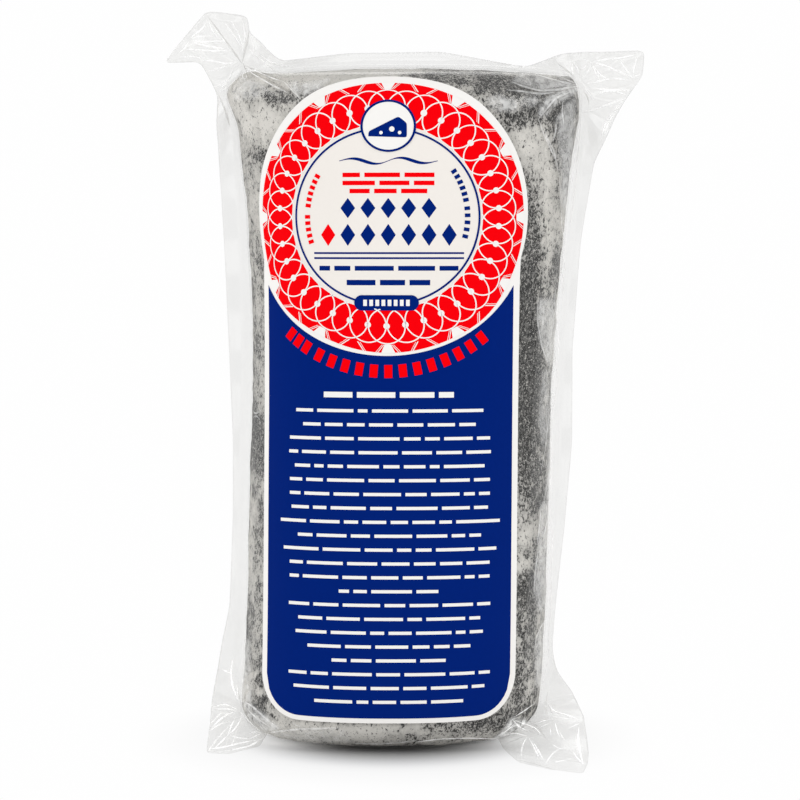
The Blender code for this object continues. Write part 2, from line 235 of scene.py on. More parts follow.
# Pale folds over the cheese and along its sides: painted highlights where the film's folds would catch the
# light
RIND_FOLD_HIGHLIGHTS = [
    ((512, 82), (525, 87), (540, 91), (556, 90), (578, 86)), ((506, 90), (520, 91), (540, 94), (556, 92)),
    ((548, 70), (560, 77), (577, 84)), ((525, 72), (545, 77), (562, 82), (577, 85)),
    ((557, 64), (567, 73), (578, 83)), ((570, 92), (556, 98), (549, 106), (543, 114)),
    ((563, 99), (562, 111), (564, 126)), ((556, 117), (556, 129), (553, 142)),
    ((544, 128), (548, 140), (554, 151), (557, 162)),
    ((577, 92), (580, 105), (579, 120), (577, 140), (574, 165), (571, 190)),
    ((240, 700), (251, 705), (263, 716), (279, 729)), ((244, 705), (252, 714), (262, 722), (272, 728)),
    ((265, 734), (280, 731), (300, 729), (340, 728)), ((292, 722), (297, 726), (302, 727)),
    ((352, 743), (380, 744), (405, 742), (418, 740)),
    ((538, 118), (543, 133), (550, 148), (556, 160), (559, 176)),
    ((559, 176), (561, 205), (562, 228), (565, 243), (564, 262)), ((563, 216), (566, 225), (566, 240)),
    ((556, 286), (554, 300), (557, 320), (559, 345)), ((538, 300), (537, 318), (541, 344), (549, 366)),
    ((556, 296), (557, 322), (559, 344), (557, 362)), ((550, 367), (555, 358), (557, 366), (552, 380)),
    ((553, 372), (553, 392), (551, 412), (549, 430)), ((549, 400), (548, 425), (545, 450), (541, 470)),
    ((541, 452), (539, 462)), ((552, 440), (551, 465), (550, 490)), ((549, 470), (547, 485), (544, 500)),
    ((541, 502), (540, 520), (537, 545)), ((546, 500), (547, 520), (543, 540)),
    ((538, 550), (535, 572), (534, 592)), ((553, 520), (552, 560), (550, 600), (549, 625)),
    ((549, 618), (542, 624), (536, 638), (534, 652)), ((548, 655), (545, 672), (542, 690)),
    ((541, 690), (538, 705), (535, 718)), ((251, 408), (256, 415), (262, 407)),
    ((252, 420), (256, 414), (260, 420)),
]
# Painted shade: dark lines beside the folds, where the gathered film would hide the light
PAINTED_SHADE_FOLDS = [
    ((208, 17), (222, 36), (234, 52), (242, 64)), ((249, 29), (247, 42), (244, 53), (242, 63)),
    ((243, 63), (246, 71), (249, 80)), ((244, 65), (258, 71), (272, 77), (285, 81)),
    ((244, 67), (256, 75), (272, 82), (296, 95)), ((285, 81), (291, 87), (297, 95), (302, 102)),
    ((218, 94), (223, 104), (227, 116), (230, 128)), ((229, 88), (236, 80), (242, 70)),
    ((580, 84), (573, 75), (565, 69), (557, 63)), ((579, 85), (570, 77), (562, 71)),
    ((577, 84), (560, 80), (543, 75), (522, 71), (498, 67)), ((579, 87), (566, 89), (552, 94), (541, 98)),
    ((555, 91), (540, 92), (525, 89), (512, 84)), ((569, 94), (556, 100), (548, 109), (542, 117)),
    ((580, 88), (582, 98), (581, 115), (579, 140), (575, 170)), ((583, 90), (588, 97), (589, 105)),
    ((537, 117), (543, 134), (551, 151)), ((557, 163), (560, 190), (561, 212), (564, 243)),
    ((562, 244), (562, 268), (556, 286)), ((557, 275), (554, 285), (553, 298)),
    ((542, 370), (539, 400), (538, 425), (541, 445)), ((549, 372), (549, 400), (548, 430)),
    ((240, 701), (245, 713), (252, 724), (262, 733)), ((238, 690), (240, 701)),
    ((265, 735), (285, 738), (300, 741)), ((527, 735), (518, 739), (505, 744)),
    ((534, 722), (541, 731), (546, 739)), ((518, 760), (535, 764), (555, 770), (578, 775)),
    ((548, 704), (551, 712), (554, 716)), ((500, 734), (512, 731), (524, 733)),
]
# Width, cover and roughness of each kind of fold
FOLD_LOOKS = {
    "bright": (0.26, 0.9, 0.2),
    "low": (0.28, 0.95, 0.2),
    "pale": (0.36, 0.6, 0.4),
    "shaded": (0.34, 0.2, 0.4),
}
FOLD_HEIGHT_SHARE = 0.15
RIDGE_POINTS = 5
FOLD_STEP = 2.2
FOLD_SMOOTHING = 3
FOLD_LIFT = 0.02
FOLD_END = 5
FOLD_TIP = 0.4
FOLD_JUMP = 2.5
BACK_SLIDE = 37.0

# Milky haze where the film stands off the cheese, and a painted sheen on the right shoulder where the film
# would catch the light: corners of each patch and the share of milk
HAZE_AND_SHEEN_PATCHES = [
    (((232, 92), (241, 77), (262, 83), (268, 90), (257, 99), (236, 100)), 0.32),
    (((290, 83), (297, 82), (301, 91), (299, 99), (294, 91)), 0.5),
    (((302, 84), (330, 79), (320, 89), (304, 97)), 0.45),
    (((577, 85), (565, 87), (551, 94), (541, 104), (539, 116), (545, 117), (554, 106), (566, 98), (579, 91)),
     0.5),
    (((556, 118), (566, 104), (576, 98), (574, 150), (567, 190), (561, 170)), 0.28),
    # The next two patches are a painted sheen on the right shoulder, given as milk
    (((487, 99), (498, 95), (512, 99), (522, 107), (514, 112), (496, 111)), 0.42),
    (((520, 99), (536, 96), (540, 102), (530, 108), (521, 106)), 0.3),
    (((512, 82), (540, 90), (578, 85), (545, 76), (520, 73)), 0.3),
    (((561, 174), (572, 160), (569, 190), (565, 213), (561, 200)), 0.35),
    (((539, 299), (553, 299), (558, 342), (550, 366), (541, 344), (537, 317)), 0.35),
    (((542, 371), (550, 370), (549, 430), (543, 446), (538, 425), (539, 398)), 0.22),
    (((550, 300), (560, 300), (560, 340), (558, 344)), 0.25),
    (((551, 372), (557, 365), (555, 420), (551, 500), (546, 500), (549, 440)), 0.45),
    (((541, 503), (551, 500), (551, 610), (538, 610), (534, 590), (538, 545)), 0.33),
    (((535, 655), (537, 636), (545, 620), (550, 620), (548, 660), (540, 690), (535, 685)), 0.3),
    (((240, 700), (252, 704), (281, 728), (264, 734), (248, 722)), 0.45),
    (((512, 718), (536, 722), (542, 735), (526, 737), (494, 739), (505, 728)), 0.85),
    (((265, 734), (300, 729), (345, 730), (352, 743), (300, 741)), 0.22),
    (((238, 640), (249, 640), (252, 704), (240, 700)), 0.35),
]
HAZE_SOFTNESS = 3.0
HAZE_FRONT = 0.5

# Clouds of ash (above nought) and lighter clouds (below): middle, half sizes and strength
CLOUDS = [
    (272, 99, 13, 7, 0.75), (234, 97, 8, 8, -0.7), (236, 112, 4, 12, -0.3), (251, 145, 6, 14, 0.3),
    (256, 205, 12, 40, -0.4), (266, 157, 8, 7, 0.5), (262, 125, 18, 18, -1.0), (250, 190, 7, 22, 0.05),
    (252, 300, 10, 60, 0.3), (246, 400, 9, 60, 0.5), (257, 440, 9, 26, 0.75), (255, 500, 9, 14, 0.45),
    (244, 626, 4, 16, 0.9), (262, 640, 5, 50, 0.4), (262, 705, 11, 14, 0.8), (243, 690, 9, 14, -0.6),
    (312, 78, 56, 7, -1.0), (284, 86, 9, 5, -0.6), (385, 71, 25, 4, -0.9), (450, 76, 26, 6, 0.5),
    (505, 84, 40, 8, 0.9), (480, 97, 15, 8, 0.3), (545, 104, 20, 12, 0.9), (522, 120, 14, 8, 0.5),
    (528, 143, 14, 14, -0.5), (566, 130, 9, 40, 0.7), (546, 186, 9, 22, -0.45), (532, 208, 10, 14, 0.7),
    (549, 245, 8, 42, -0.35), (530, 270, 10, 40, 0.6), (561, 270, 5, 26, 0.7), (527, 360, 14, 66, 1.6),
    (548, 330, 9, 34, -0.3), (528, 470, 14, 45, 0.75), (524, 534, 6, 5, -0.8), (524, 566, 7, 8, -0.7),
    (528, 600, 12, 40, 0.8), (512, 690, 22, 34, 0.45), (485, 724, 26, 7, 0.7), (400, 735, 30, 7, 0.1),
    (350, 732, 60, 8, -0.6),
]
CLOUD_FALL = 0.7
CLOUD_LIMITS = (-1.0, 1.6)
CLOUD_FRONT = 4.0

# Noise of the looks: size, detail, roughness and distortion, with the share before them for ash
ASH_SHARE = 0.2
ASH_NOISE = ((0.5, 8.0, 3.0, 0.6, 0.3), (0.45, 1.9, 2.0, 0.6, 0.5))
NOISE_MIDDLE = 0.5
NOISE_RANGE = (0.35, 0.65)
GRAIN_STRETCH = (1.0, 1.0, 0.7)
GRAIN_NOISE = (0.42, 3.0, 0.7, 0.6)
LEAST_CROWD = -0.045
MOST_CROWD = 0.11
FLECK_RANGE = (0.52, 0.62)
FLECK_SHARE = 0.95
GREY_RANGE = (-0.2, 0.3)
THREAD_NOISE = (0.36, 2.0, 0.6, 0.4)
THREAD_RANGE = (0.59, 0.65, 0.0, 0.6)
FILM_ROUGHNESS = 0.12
GRAZE_POWER = 4.0
STREAK_NOISE = (1.3, 4.0, 0.65, 0.8)
STREAK_RISE = 0.6
FOLD_NOISE = (1.6, 3.0, 0.6)
MOTTLE_NOISE = (0.6, 3.0)
PAPER_NOISE = (9.0, 2.0)

# Sticker: a round head on a straight body with round lower corners
LABEL_CENTRE_X = -2.25
LABEL_HEAD_HEIGHT = 91.7
LABEL_HEAD_WIDTH = 24.45
LABEL_HEAD_DEPTH = 24.0
LABEL_HALF_WIDTH = 23.25
LABEL_FOOT_HEIGHT = 5.6
LABEL_CORNER_RADIUS = 8.0
LABEL_GAP = 0.06
LABEL_THICKNESS = 0.32
PAPER_TOP = LABEL_GAP + LABEL_THICKNESS
PAPER_ROWS = 180
PAPER_COLUMNS = 80
PAPER_MERGE = 0.002
SHARP_ANGLE = 40.0
LABEL_BORDER = 1.25
LABEL_FOOT_BORDER = 0.8
HEAD_SHIFT = 0.25
HEAD_SHIFT_START = 78.0
HEAD_SHIFT_SPAN = 12.0

# Printed forms on the sticker
RING_HEIGHT = 91.25
RED_RING_HEIGHT = 91.2
RING_OUTER = 23.6
RING_INNER = 16.2
THIN_RING_RADIUS = 15.7
THIN_RING_WIDTH = 0.35
THIN_RING_ACROSS = -0.05
THIN_RING_FLATTEN = 0.943
ROUNDEL_MIDDLE = (0.3, 106.4)
ROUNDEL_RADIUS = 4.65
ROUNDEL_RING_WIDTH = 0.4
ROUNDEL_FLATTEN = 0.93
PILL_HEIGHT = 76.8
PILL_WIDTH = 10.8
PILL_DEPTH = 2.6
INK_CELL = 0.6
FIELD_ROWS = 60
RING_SIDES = 240
RING_ROWS = 12
PILL_SIDES = 64
PILL_ROWS = 6
DISC_MIDDLE = 0.02
MIDDLE_SHARE = 0.01

# The red ring's inner and outer ovals as (across, half width, half height), and the places towards
# which the wrapped print is drawn out as (across, up, spread, reach)
RING_OVALS = ((-0.15, 16.4, 15.6), (0.3, 23.55, 22.8))
RING_PULLS = ((-19.0, -13.8, 6.0, 0.88), (16.5, -16.0, 5.0, 0.35))

# Upper edge of the blue field: height and half sizes of its oval
FIELD_HEAD_HEIGHT = 91.52
FIELD_HEAD_WIDTH = 25.4
FIELD_HEAD_DEPTH = 23.65

# Pattern of the ring: loops that overlap, a dot in each, teeth at the rim and slanting strokes
# between them as (angle from a tooth in degrees, slant, width)
LOOP_COUNT = 38
LOOP_CENTRES = 19.0
LOOP_WIDTH = 3.06
LOOP_DEPTH = 3.05
LOOP_LINE = 0.22
LOOP_SIDES = 48
DOT_RADIUS = 0.54
DOT_SIDES = 14
MARK_POINTS = 5
FIRST_TOOTH = 90.0
TOOTH_COUNT = 12
TOOTH_SIZE = (2.4, 1.5)
TOOTH_TAPER = 0.55
INK_OVERLAP = 0.06
STROKE_DEPTH = 1.45
STROKES = (
    (3.1, -1.1, 0.15),
    (3.9, -1.15, 0.11),
    (-3.1, 1.1, 0.15),
    (-3.9, 1.15, 0.11),
    (11.5, 1.25, 0.22),
    (10.6, 1.2, 0.11),
    (18.5, -1.25, 0.22),
    (19.4, -1.2, 0.11),
)

# Bars that hold the place of small print: heights up the front, widths and depths
PRINT_CENTRE = 0.3
HEADING = (61.3, 22.0, 0.95)
FIRST_LINE_HEIGHT = 58.6
LINE_PITCH = 2.353
LINE_DEPTH = 0.54
LINE_WIDTHS = (
    32.3, 29.6, 34.8, 35.1, 32.8, 34.8, 34.8, 34.1, 38.6, 31.6, 37.3,
    34.8, 34.8, 16.8, 35.1, 31.4, 32.4, 27.9, 19.3, 35.1, 33.1, 25.4,
)
PRINT_SEED = 7
SHORTEST_WORD = 1.6
LONGEST_WORD = 7.0
WORD_GAP = 0.75
MEDALLION_RED_LINES = ((98.25, 15.4, 0.75), (96.9, 15.4, 0.75), (95.55, 13.0, 0.75))
MEDALLION_NAVY_LINES = ((82.6, 23.5, 0.8), (80.2, 14.0, 0.9))
RULES = ((85.15, 25.4, 0.32), (84.3, 25.4, 0.32))
LOZENGE_ROWS = ((92.7, 5, 3.4), (88.2, 7, 3.7))
LOZENGE_PITCH = 3.4
LOZENGE_WIDTH = 2.5
PILL_MARKS = 8
PILL_MARK_PITCH = 1.02
PILL_MARK_SIZE = (0.62, 1.05)
SWASH_HEIGHT = 100.6
SWASH_LENGTH = 16.5
SWASH_POINTS = 81
SWASH_WAVE = 0.55
SWASH_FADE = 0.4
SWASH_THIN = 0.12
SWASH_SWELL = 0.45
ARC_RADIUS = 26.0
ARC_MARK = (1.35, 2.2)
ARC_WORDS = ((-130.3, -122.2, 3), (-116.3, -51.6, 13))
SIDE_ARC_RADIUS = 13.6
SIDE_MARK = (0.62, 0.95)
SIDE_WORDS = (
    (198.0, 180.0, 5, "red_ink"),
    (172.0, 150.0, 6, "red_ink"),
    (34.0, 12.0, 6, "navy_ink"),
    (6.0, -14.0, 5, "navy_ink"),
)

# Wedge of cheese in the roundel, as (across, up) from its middle, and its holes with their radius
WEDGE_CORNERS = ((-3.3, -1.7), (3.1, -1.9), (3.1, 0.5), (1.7, 1.6), (-3.3, -0.9))
WEDGE_HOLES = ((0.6, -0.5, 0.45), (1.9, -1.1, 0.3), (-1.2, -1.1, 0.3))
WEDGE_STEP = 0.25
WEDGE_SMOOTHING = 2
WEDGE_ROWS = 7
WEDGE_HEART = 0.7

# Photograph's camera
CAMERA_DISTANCE = 500.0
CAMERA_HEIGHT = 87.3
CAMERA_PITCH = 3.2
FOCAL_PIXELS = 2857.0
PICTURE_WIDTH = 800.0
SENSOR_WIDTH = 36.0

# Painted shadow on the floor round the pack: its middle, how far its width is drawn in, and where it begins
SHADOW_MIDDLE = -1.5
SHADOW_SQUASH = 1.12
CONTACT_SQUASH = 0.45
SHADOW_START = 13.0

# Its edges under the pack, then where each part of it fades as (low, high, depth at low)
CONTACT_EDGES = (10.5, 16.0)
SHADOW_FADES = ((13.0, 33.0, 0.9), (25.0, 53.0, 0.1))
FLOOR_SIDES = 96
FLOOR_RADIUS = 3.0
PAPER_WHITE = 0.9
BACKDROP_WHITE = 0.995

# Directions where the flats and the reflected strip begin and end
FRONT_FLAT_EDGES = (-0.85, -0.3)
BACK_FLAT_EDGES = (0.3, 0.85)
STRIP_FOOT = (0.34, 0.42)
STRIP_HEAD = (0.6, 0.7)

# Softboxes, in metres: place and size
SOFTBOXES = (
    ("key_softbox", (-0.55, -0.55, 0.5), (0.45, 0.45)),
    ("fill_softbox", (0.6, -0.35, 0.25), (0.35, 0.5)),
)
SOFTBOX_AIM = (0.0, 0.0, 0.06)


def srgb(red, green, blue):
    """A linear colour from an 8-bit screen colour."""
    values = []
    for value in (red, green, blue):
        share = value / 255.0
        values.append(share / 12.92 if share <= 0.04045 else ((share + 0.055) / 1.055) ** 2.4)
    return (*values, 1.0)


def smooth_step(value):
    share = np.clip(value, 0.0, 1.0)
    return share * share * (3.0 - 2.0 * share)


def path_lengths(x, y):
    """Distance of each point along a line from its first point."""
    return np.concatenate(([0.0], np.cumsum(np.hypot(np.diff(x), np.diff(y)))))


def nearest(points, places):
    """Distance from each point to the closest of the places."""
    closest = np.full(len(points), np.inf)
    for place in places:
        closest = np.minimum(closest, np.hypot(*(points - place).T))
    return closest


def grid_values(values, column, row):
    """Values of a grid between its points, at fractional columns and rows."""
    rows, columns = values.shape[:2]
    i = np.clip(column.astype(int), 0, columns - 2)
    j = np.clip(row.astype(int), 0, rows - 2)
    shape = column.shape + (1,) * (values.ndim - 2)
    u = (column - i).reshape(shape)
    v = (row - j).reshape(shape)
    low = (1.0 - u) * values[j, i] + u * values[j, i + 1]
    high = (1.0 - u) * values[j + 1, i] + u * values[j + 1, i + 1]
    return (1.0 - v) * low + v * high


COLOUR = {"subtype": "COLOR", "size": 4}


class RindSettings(PropertyGroup):
    """Cheese log under the film."""

    film_gap: FloatProperty(
        name="Film Gap", description="Depth of the rind under the film", default=0.35 * MM, unit="LENGTH"
    )
    relief: FloatProperty(
        name="Relief", description="Height of the rind's lumps", default=0.3 * MM, unit="LENGTH"
    )
    columns: IntProperty(name="Columns", description="Faces round the log", default=300, min=32)
    rows: IntProperty(name="Rows", description="Faces from the foot to the top", default=300, min=32)
    pale: FloatVectorProperty(
        name="Pale", description="Bloom on the rind", default=srgb(216, 213, 207), **COLOUR
    )
    grey: FloatVectorProperty(
        name="Grey", description="Ash on the rind", default=srgb(108, 107, 105), **COLOUR
    )
    dark: FloatVectorProperty(
        name="Dark", description="Thick ash and flecks", default=srgb(28, 28, 27), **COLOUR
    )


class BagSettings(PropertyGroup):
    """Clear bag."""

    mesh_size: FloatProperty(
        name="Mesh Size", description="Spacing of the fins' points", default=0.36 * MM, unit="LENGTH"
    )
    half_gap: FloatProperty(
        name="Half Gap", description="Half the space in a puffed ear", default=0.35 * MM, unit="LENGTH"
    )
    tight_tint: FloatVectorProperty(
        name="Tight Tint", description="Colour that the tight film lets through",
        default=(0.985, 0.985, 0.983, 1.0), **COLOUR
    )
    loose_tint: FloatVectorProperty(
        name="Loose Tint", description="Colour that one sheet of the fins and ears lets through",
        default=(0.948, 0.947, 0.943, 1.0), **COLOUR
    )
    graze: FloatProperty(
        name="Graze", description="Added shine where film turns away", default=0.12, min=0.0, max=0.9
    )
    ear_milk: FloatProperty(
        name="Ear Milk", description="Share of milk in the ears", default=0.15, min=0.0, max=1.0
    )
    milk: FloatVectorProperty(
        name="Milk", description="Colour of milky film", default=(0.92, 0.92, 0.91, 1.0), **COLOUR
    )
    # White of the creases and of the pale folds on the rind: partly whitened film, partly painted highlight
    crease: FloatVectorProperty(
        name="Crease", description="Colour of a sharp crease", default=(0.6, 0.6, 0.6, 1.0), **COLOUR
    )
    # White of the lower ears' creases: partly whitened film, partly painted highlight
    foot_crease: FloatVectorProperty(
        name="Foot Crease", description="Colour of a crease low down",
        default=(0.74, 0.74, 0.74, 1.0), **COLOUR
    )
    # Colour of the painted shade lines beside the folds
    shade: FloatVectorProperty(
        name="Shade", description="Colour of gathered film", default=(0.16, 0.15, 0.13, 1.0), **COLOUR
    )


class StickerSettings(PropertyGroup):
    """Printed sticker."""

    paper: FloatVectorProperty(
        name="Paper", description="Unprinted sticker", default=srgb(245, 243, 240), **COLOUR
    )
    cream: FloatVectorProperty(
        name="Cream", description="Ground of the medallion", default=srgb(240, 235, 229), **COLOUR
    )
    navy: FloatVectorProperty(name="Navy", description="Blue ink", default=srgb(0, 34, 118), **COLOUR)
    red: FloatVectorProperty(name="Red", description="Red ink", default=srgb(249, 0, 10), **COLOUR)
    ink_lift: FloatProperty(
        name="Ink Lift", description="Step from one layer of ink to the next",
        default=0.03 * MM, unit="LENGTH"
    )


class StudioSettings(PropertyGroup):
    """Floor, light and camera."""

    dome: FloatProperty(
        name="Dome", description="Strength of the white surroundings", default=1.0, min=0.0
    )
    front_flat: FloatProperty(
        name="Front Flat", description="Brightness of the dark flat in front", default=0.5, min=0.0
    )
    back_flat: FloatProperty(
        name="Back Flat", description="Brightness of the grey flat behind", default=0.85, min=0.0
    )
    strip: FloatProperty(
        name="Strip", description="Strength of the strip that the film reflects", default=1.6, min=0.0
    )
    key: FloatProperty(name="Key", description="Power of the left softbox in watts", default=2.4, min=0.0)
    fill: FloatProperty(name="Fill", description="Power of the right softbox in watts", default=1.3, min=0.0)
    # Brightness that the painted shadow leaves on the floor next to the pack
    shadow_floor: FloatProperty(
        name="Shadow Floor", description="Floor's brightness next to the pack", default=0.25, min=0.0, max=1.0
    )
    shadow_reach: FloatProperty(
        name="Shadow Reach", description="Distance over which the floor turns white",
        default=24.0 * MM, unit="LENGTH"
    )


# Form of the log

def centre_x(height):
    foot = np.maximum(0.0, 1.0 - height / FOOT_SHIFT_HEIGHT)
    return LEAN * (height - LEAN_HEIGHT) - FOOT_SHIFT * foot**2


def half_width(height):
    rise = np.maximum(0.0, height - FLARE_START) / (SHOULDER_HEIGHT - FLARE_START)
    return HALF_WIDTH + FLARE * rise**2


def log_level(travel):
    """Height, half width, half depth and upward slope at a distance along the front outline."""
    below = np.clip((BASE_EDGE - travel) / BASE_ROUND, 0.0, QUARTER)
    above = np.clip((travel - SHOULDER_EDGE) / SHOULDER_ROUND_DEPTH, 0.0, QUARTER)
    height = np.clip(travel, BASE_EDGE, SHOULDER_EDGE)
    height = height - BASE_ROUND * np.sin(below) + SHOULDER_ROUND_DEPTH * np.sin(above)
    foot_inset = BASE_ROUND * (1.0 - np.cos(below))
    turn = 1.0 - np.cos(above)
    wide_from = np.where(below > 0.0, 0.0, height)
    wide = half_width(wide_from) - foot_inset - SHOULDER_ROUND_WIDTH * turn
    deep = HALF_DEPTH - foot_inset - SHOULDER_ROUND_DEPTH * turn
    return height, wide, deep, above - below


def section_points(wide, deep, angles):
    power = 2.0 / SECTION_POWER
    across = np.cos(angles)
    along = np.sin(angles)
    x = wide * np.sign(across) * np.abs(across) ** power
    y = deep * np.sign(along) * np.abs(along) ** power
    return x, y


def corner_shift(across, height):
    """Shift across and up near the log's corners, for the raised ends of the base and the upper left horn."""
    share = across / half_width(height)
    rise = FOOT_RISE * np.abs(share) ** 3 * np.clip(1.0 - height / FOOT_RISE_HEIGHT, 0.0, 1.0)
    peak = smooth_step((-share - PEAK_START) / (1.0 - PEAK_START))
    rise = rise + PEAK_RISE * (peak * smooth_step((height - PEAK_HEIGHT) / PEAK_SPAN))
    out = sum(reach * np.exp(-(((height - middle) / spread) ** 2)) for middle, spread, reach in HORN_BULGES)
    return -out * smooth_step((-share - HORN_START) / (1.0 - HORN_START)), rise


def log_meridian(rows):
    """Height, half width and half depth from the middle of the base to the middle of the top."""
    foot_scale = np.linspace(0.0, 1.0, CROWN_SAMPLES)
    crown_scale = np.linspace(1.0, 0.0, CROWN_SAMPLES)
    spread = np.maximum(0.0, (foot_scale - BASE_FLAT) / (1.0 - BASE_FLAT))
    foot = BASE_CROWN * spread**2
    crown = SHOULDER_HEIGHT + TOP_CROWN * (1.0 - crown_scale**2)
    _, foot_wide, foot_deep, _ = log_level(np.array(BASE_TRAVEL))
    height, wide, deep, _ = log_level(np.linspace(BASE_TRAVEL, TOP_TRAVEL, SIDE_SAMPLES))
    heights = np.concatenate((foot, height, crown))
    wides = np.concatenate((foot_wide * foot_scale, wide, wide[-1] * crown_scale))
    deeps = np.concatenate((foot_deep * foot_scale, deep, deep[-1] * crown_scale))
    path = path_lengths(heights, 0.5 * (wides + deeps))
    even = np.linspace(0.0, path[-1], rows + 1)
    return [np.interp(even, path, values) for values in (heights, wides, deeps)]


def even_angles(columns):
    """Angles whose points lie evenly round the section."""
    dense = np.linspace(0.0, TURN, ROUND_SAMPLES)
    path = path_lengths(*section_points(HALF_WIDTH, HALF_DEPTH, dense))
    return np.interp(np.linspace(0.0, path[-1], columns + 1)[:-1], path, dense)


def log_grid(columns, rows):
    """Points and outward normals of the log, as arrays of rows by columns by 3."""
    height, wide, deep = log_meridian(rows)
    x, y = section_points(wide[:, None], deep[:, None], even_angles(columns))
    out, rise = corner_shift(x, height[:, None])
    points = np.stack((x + out + centre_x(height)[:, None], y, height[:, None] + rise), axis=2)
    across = np.roll(points, -1, axis=1) - np.roll(points, 1, axis=1)
    normals = np.cross(across, np.gradient(points, axis=0))
    normals = normals / np.maximum(np.linalg.norm(normals, axis=2, keepdims=True), TINY)
    normals[0] = (0.0, 0.0, -1.0)
    normals[-1] = (0.0, 0.0, 1.0)
    return points, normals


# Mesh helpers

def add_piece(name, mesh):
    """A smooth-shaded piece on the body."""
    mesh.shade_smooth()
    piece = bpy.data.objects.new(name, mesh)
    bpy.context.scene.collection.objects.link(piece)
    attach(piece, BODY)
    return piece


def new_piece(name, points, faces, material):
    """A piece from points in millimetres."""
    mesh = bpy.data.meshes.new(name)
    mesh.from_pydata((MM * np.asarray(points)).tolist(), [], faces)
    mesh.validate()
    mesh.materials.append(material)
    return add_piece(name, mesh)


def add_values(mesh, name, values):
    """A value or a vector for each point, which materials and node trees read by its name."""
    values = np.asarray(values, np.float32)
    kind, field = ("FLOAT", "value") if values.ndim == 1 else ("FLOAT_VECTOR", "vector")
    mesh.attributes.new(name, kind, "POINT").data.foreach_set(field, values.ravel())


def grid_faces(columns, rows, first=0, wrap=False):
    """Quads of a grid of points that are numbered row by row."""
    width = columns if wrap else columns + 1
    faces = []
    for row in range(rows):
        for column in range(columns):
            low = first + row * width + column
            side = first + row * width + (column + 1) % width
            faces.append((low, side, side + width, low + width))
    return faces


def closed_log(points):
    """Points and faces of a closed log from a grid whose first and last rows are single points."""
    rows, columns, _ = points.shape
    body = points[1:-1].reshape(-1, 3)
    every = np.concatenate((points[0, :1], body, points[-1, :1]))
    faces = grid_faces(columns, rows - 3, first=1, wrap=True)
    last = len(every) - 1
    top_row = 1 + (rows - 3) * columns
    for column in range(columns):
        side = (column + 1) % columns
        faces.append((0, 1 + side, 1 + column))
        faces.append((last, top_row + column, top_row + side))
    return every, faces


def noise_values(points, size, seed):
    """Fractal noise at each point, about -1 to 1, with lumps of the given size."""
    shift = Vector(NOISE_SHIFT) * seed
    places = [Vector(point) / size + shift for point in points.reshape(-1, 3)]
    values = [noise.fractal(place, 1.0, 2.0, LUMP_OCTAVES) for place in places]
    return np.array(values).reshape(points.shape[:-1])


# Folds of the film

def star_lift(x, z, star, seed):
    """Lift of the flat facets that meet in a star."""
    (star_x, star_z), rays, height, reach = star
    random = np.random.default_rng(seed)
    angles = TURN * (np.arange(rays) + RAY_JITTER * random.random(rays)) / rays
    heights = height * (LEAST_HEIGHT + (1.0 - LEAST_HEIGHT) * random.random(rays))
    heights[1::2] *= -1.0
    lengths = reach * (LEAST_REACH + REACH_SPREAD * random.random(rays))
    distance = np.hypot(x - star_x, z - star_z)
    turn = np.mod(np.arctan2(z - star_z, x - star_x), TURN)
    right = np.searchsorted(angles, turn) % rays
    left = (right - 1) % rays
    span = np.mod(angles[right] - angles[left], TURN)
    share = np.mod(turn - angles[left], TURN) / span
    low, high = (heights[ray] * np.exp(-((distance / lengths[ray]) ** 2)) for ray in (left, right))
    return smooth_step(distance / STAR_GROWTH) * ((1.0 - share) * low + share * high)


def film_folds(x, z, seed):
    """Lift of all the stars, bent a little so that no ray is straight."""
    warped_x = x + RAY_BEND * np.sin(RAY_BEND_UP * z + seed)
    warped_z = z + RAY_BEND * np.sin(RAY_BEND_ACROSS * x + 2.0 * seed)
    lift = np.zeros_like(x)
    for number, star in enumerate(STARS):
        lift += star_lift(warped_x, warped_z, star, 100 * seed + number)
    return lift


def film_pleats(x, z):
    """Pleats that fan out from the pinches, and slow waves along the fins."""
    lift = FIN_WAVE_HEIGHT * np.sin(TURN * z / FIN_WAVE_PITCH)
    for (pinch_x, pinch_z), count, height in PLEATS:
        distance = np.hypot(x - pinch_x, z - pinch_z)
        turn = np.arctan2(z - pinch_z, x - pinch_x)
        grown = np.clip((distance - PLEAT_START) / PLEAT_GROWTH, 0.0, 1.0)
        near = np.exp(-((distance / PLEAT_REACH) ** 4))
        lift = lift + height * grown * near * np.sin(count * turn)
    return lift


def ear_share(x, z):
    """How much each point of the flat sheet belongs to an ear, from 0 to 1."""
    share = np.zeros_like(x)
    for (pinch_x, pinch_z), _, _ in PLEATS:
        share += np.exp(-((np.hypot(x - pinch_x, z - pinch_z) / PLEAT_REACH) ** 4))
    return np.clip(share, 0.0, 1.0) * np.where(z < LOWER_EAR_HEIGHT, LOWER_EAR_MILK, 1.0)


def bent_points(x, z, lift):
    """Points of the flat sheet, raised by lift and folded forward round the lower ears' creases."""
    points = np.stack((x, lift, z), axis=1)
    for (crease_x, crease_z), turn, fold in CREASES:
        along = np.array((math.cos(math.radians(turn)), math.sin(math.radians(turn))))
        down = np.array((math.copysign(along[1], crease_x), -abs(along[0])))
        offset = np.stack((x - crease_x, z - crease_z), axis=1)
        distance = offset @ down
        bent = (distance > 0.0) & (x * crease_x > 0.0)
        angle = np.minimum(distance / CREASE_RADIUS, math.radians(fold))
        rest = distance - CREASE_RADIUS * angle
        drop = CREASE_RADIUS * np.sin(angle) + rest * np.cos(angle) + lift * np.sin(angle)
        forward = CREASE_RADIUS * (1.0 - np.cos(angle)) + rest * np.sin(angle)
        flat = np.array((crease_x, crease_z)) + (offset @ along)[:, None] * along + drop[:, None] * down
        folded = np.stack((flat[:, 0], lift * np.cos(angle) - forward, flat[:, 1]), axis=1)
        points = np.where(bent[:, None], folded, points)
    points[:, 2] = np.maximum(points[:, 2], FLOOR_CLEARANCE)
    return points


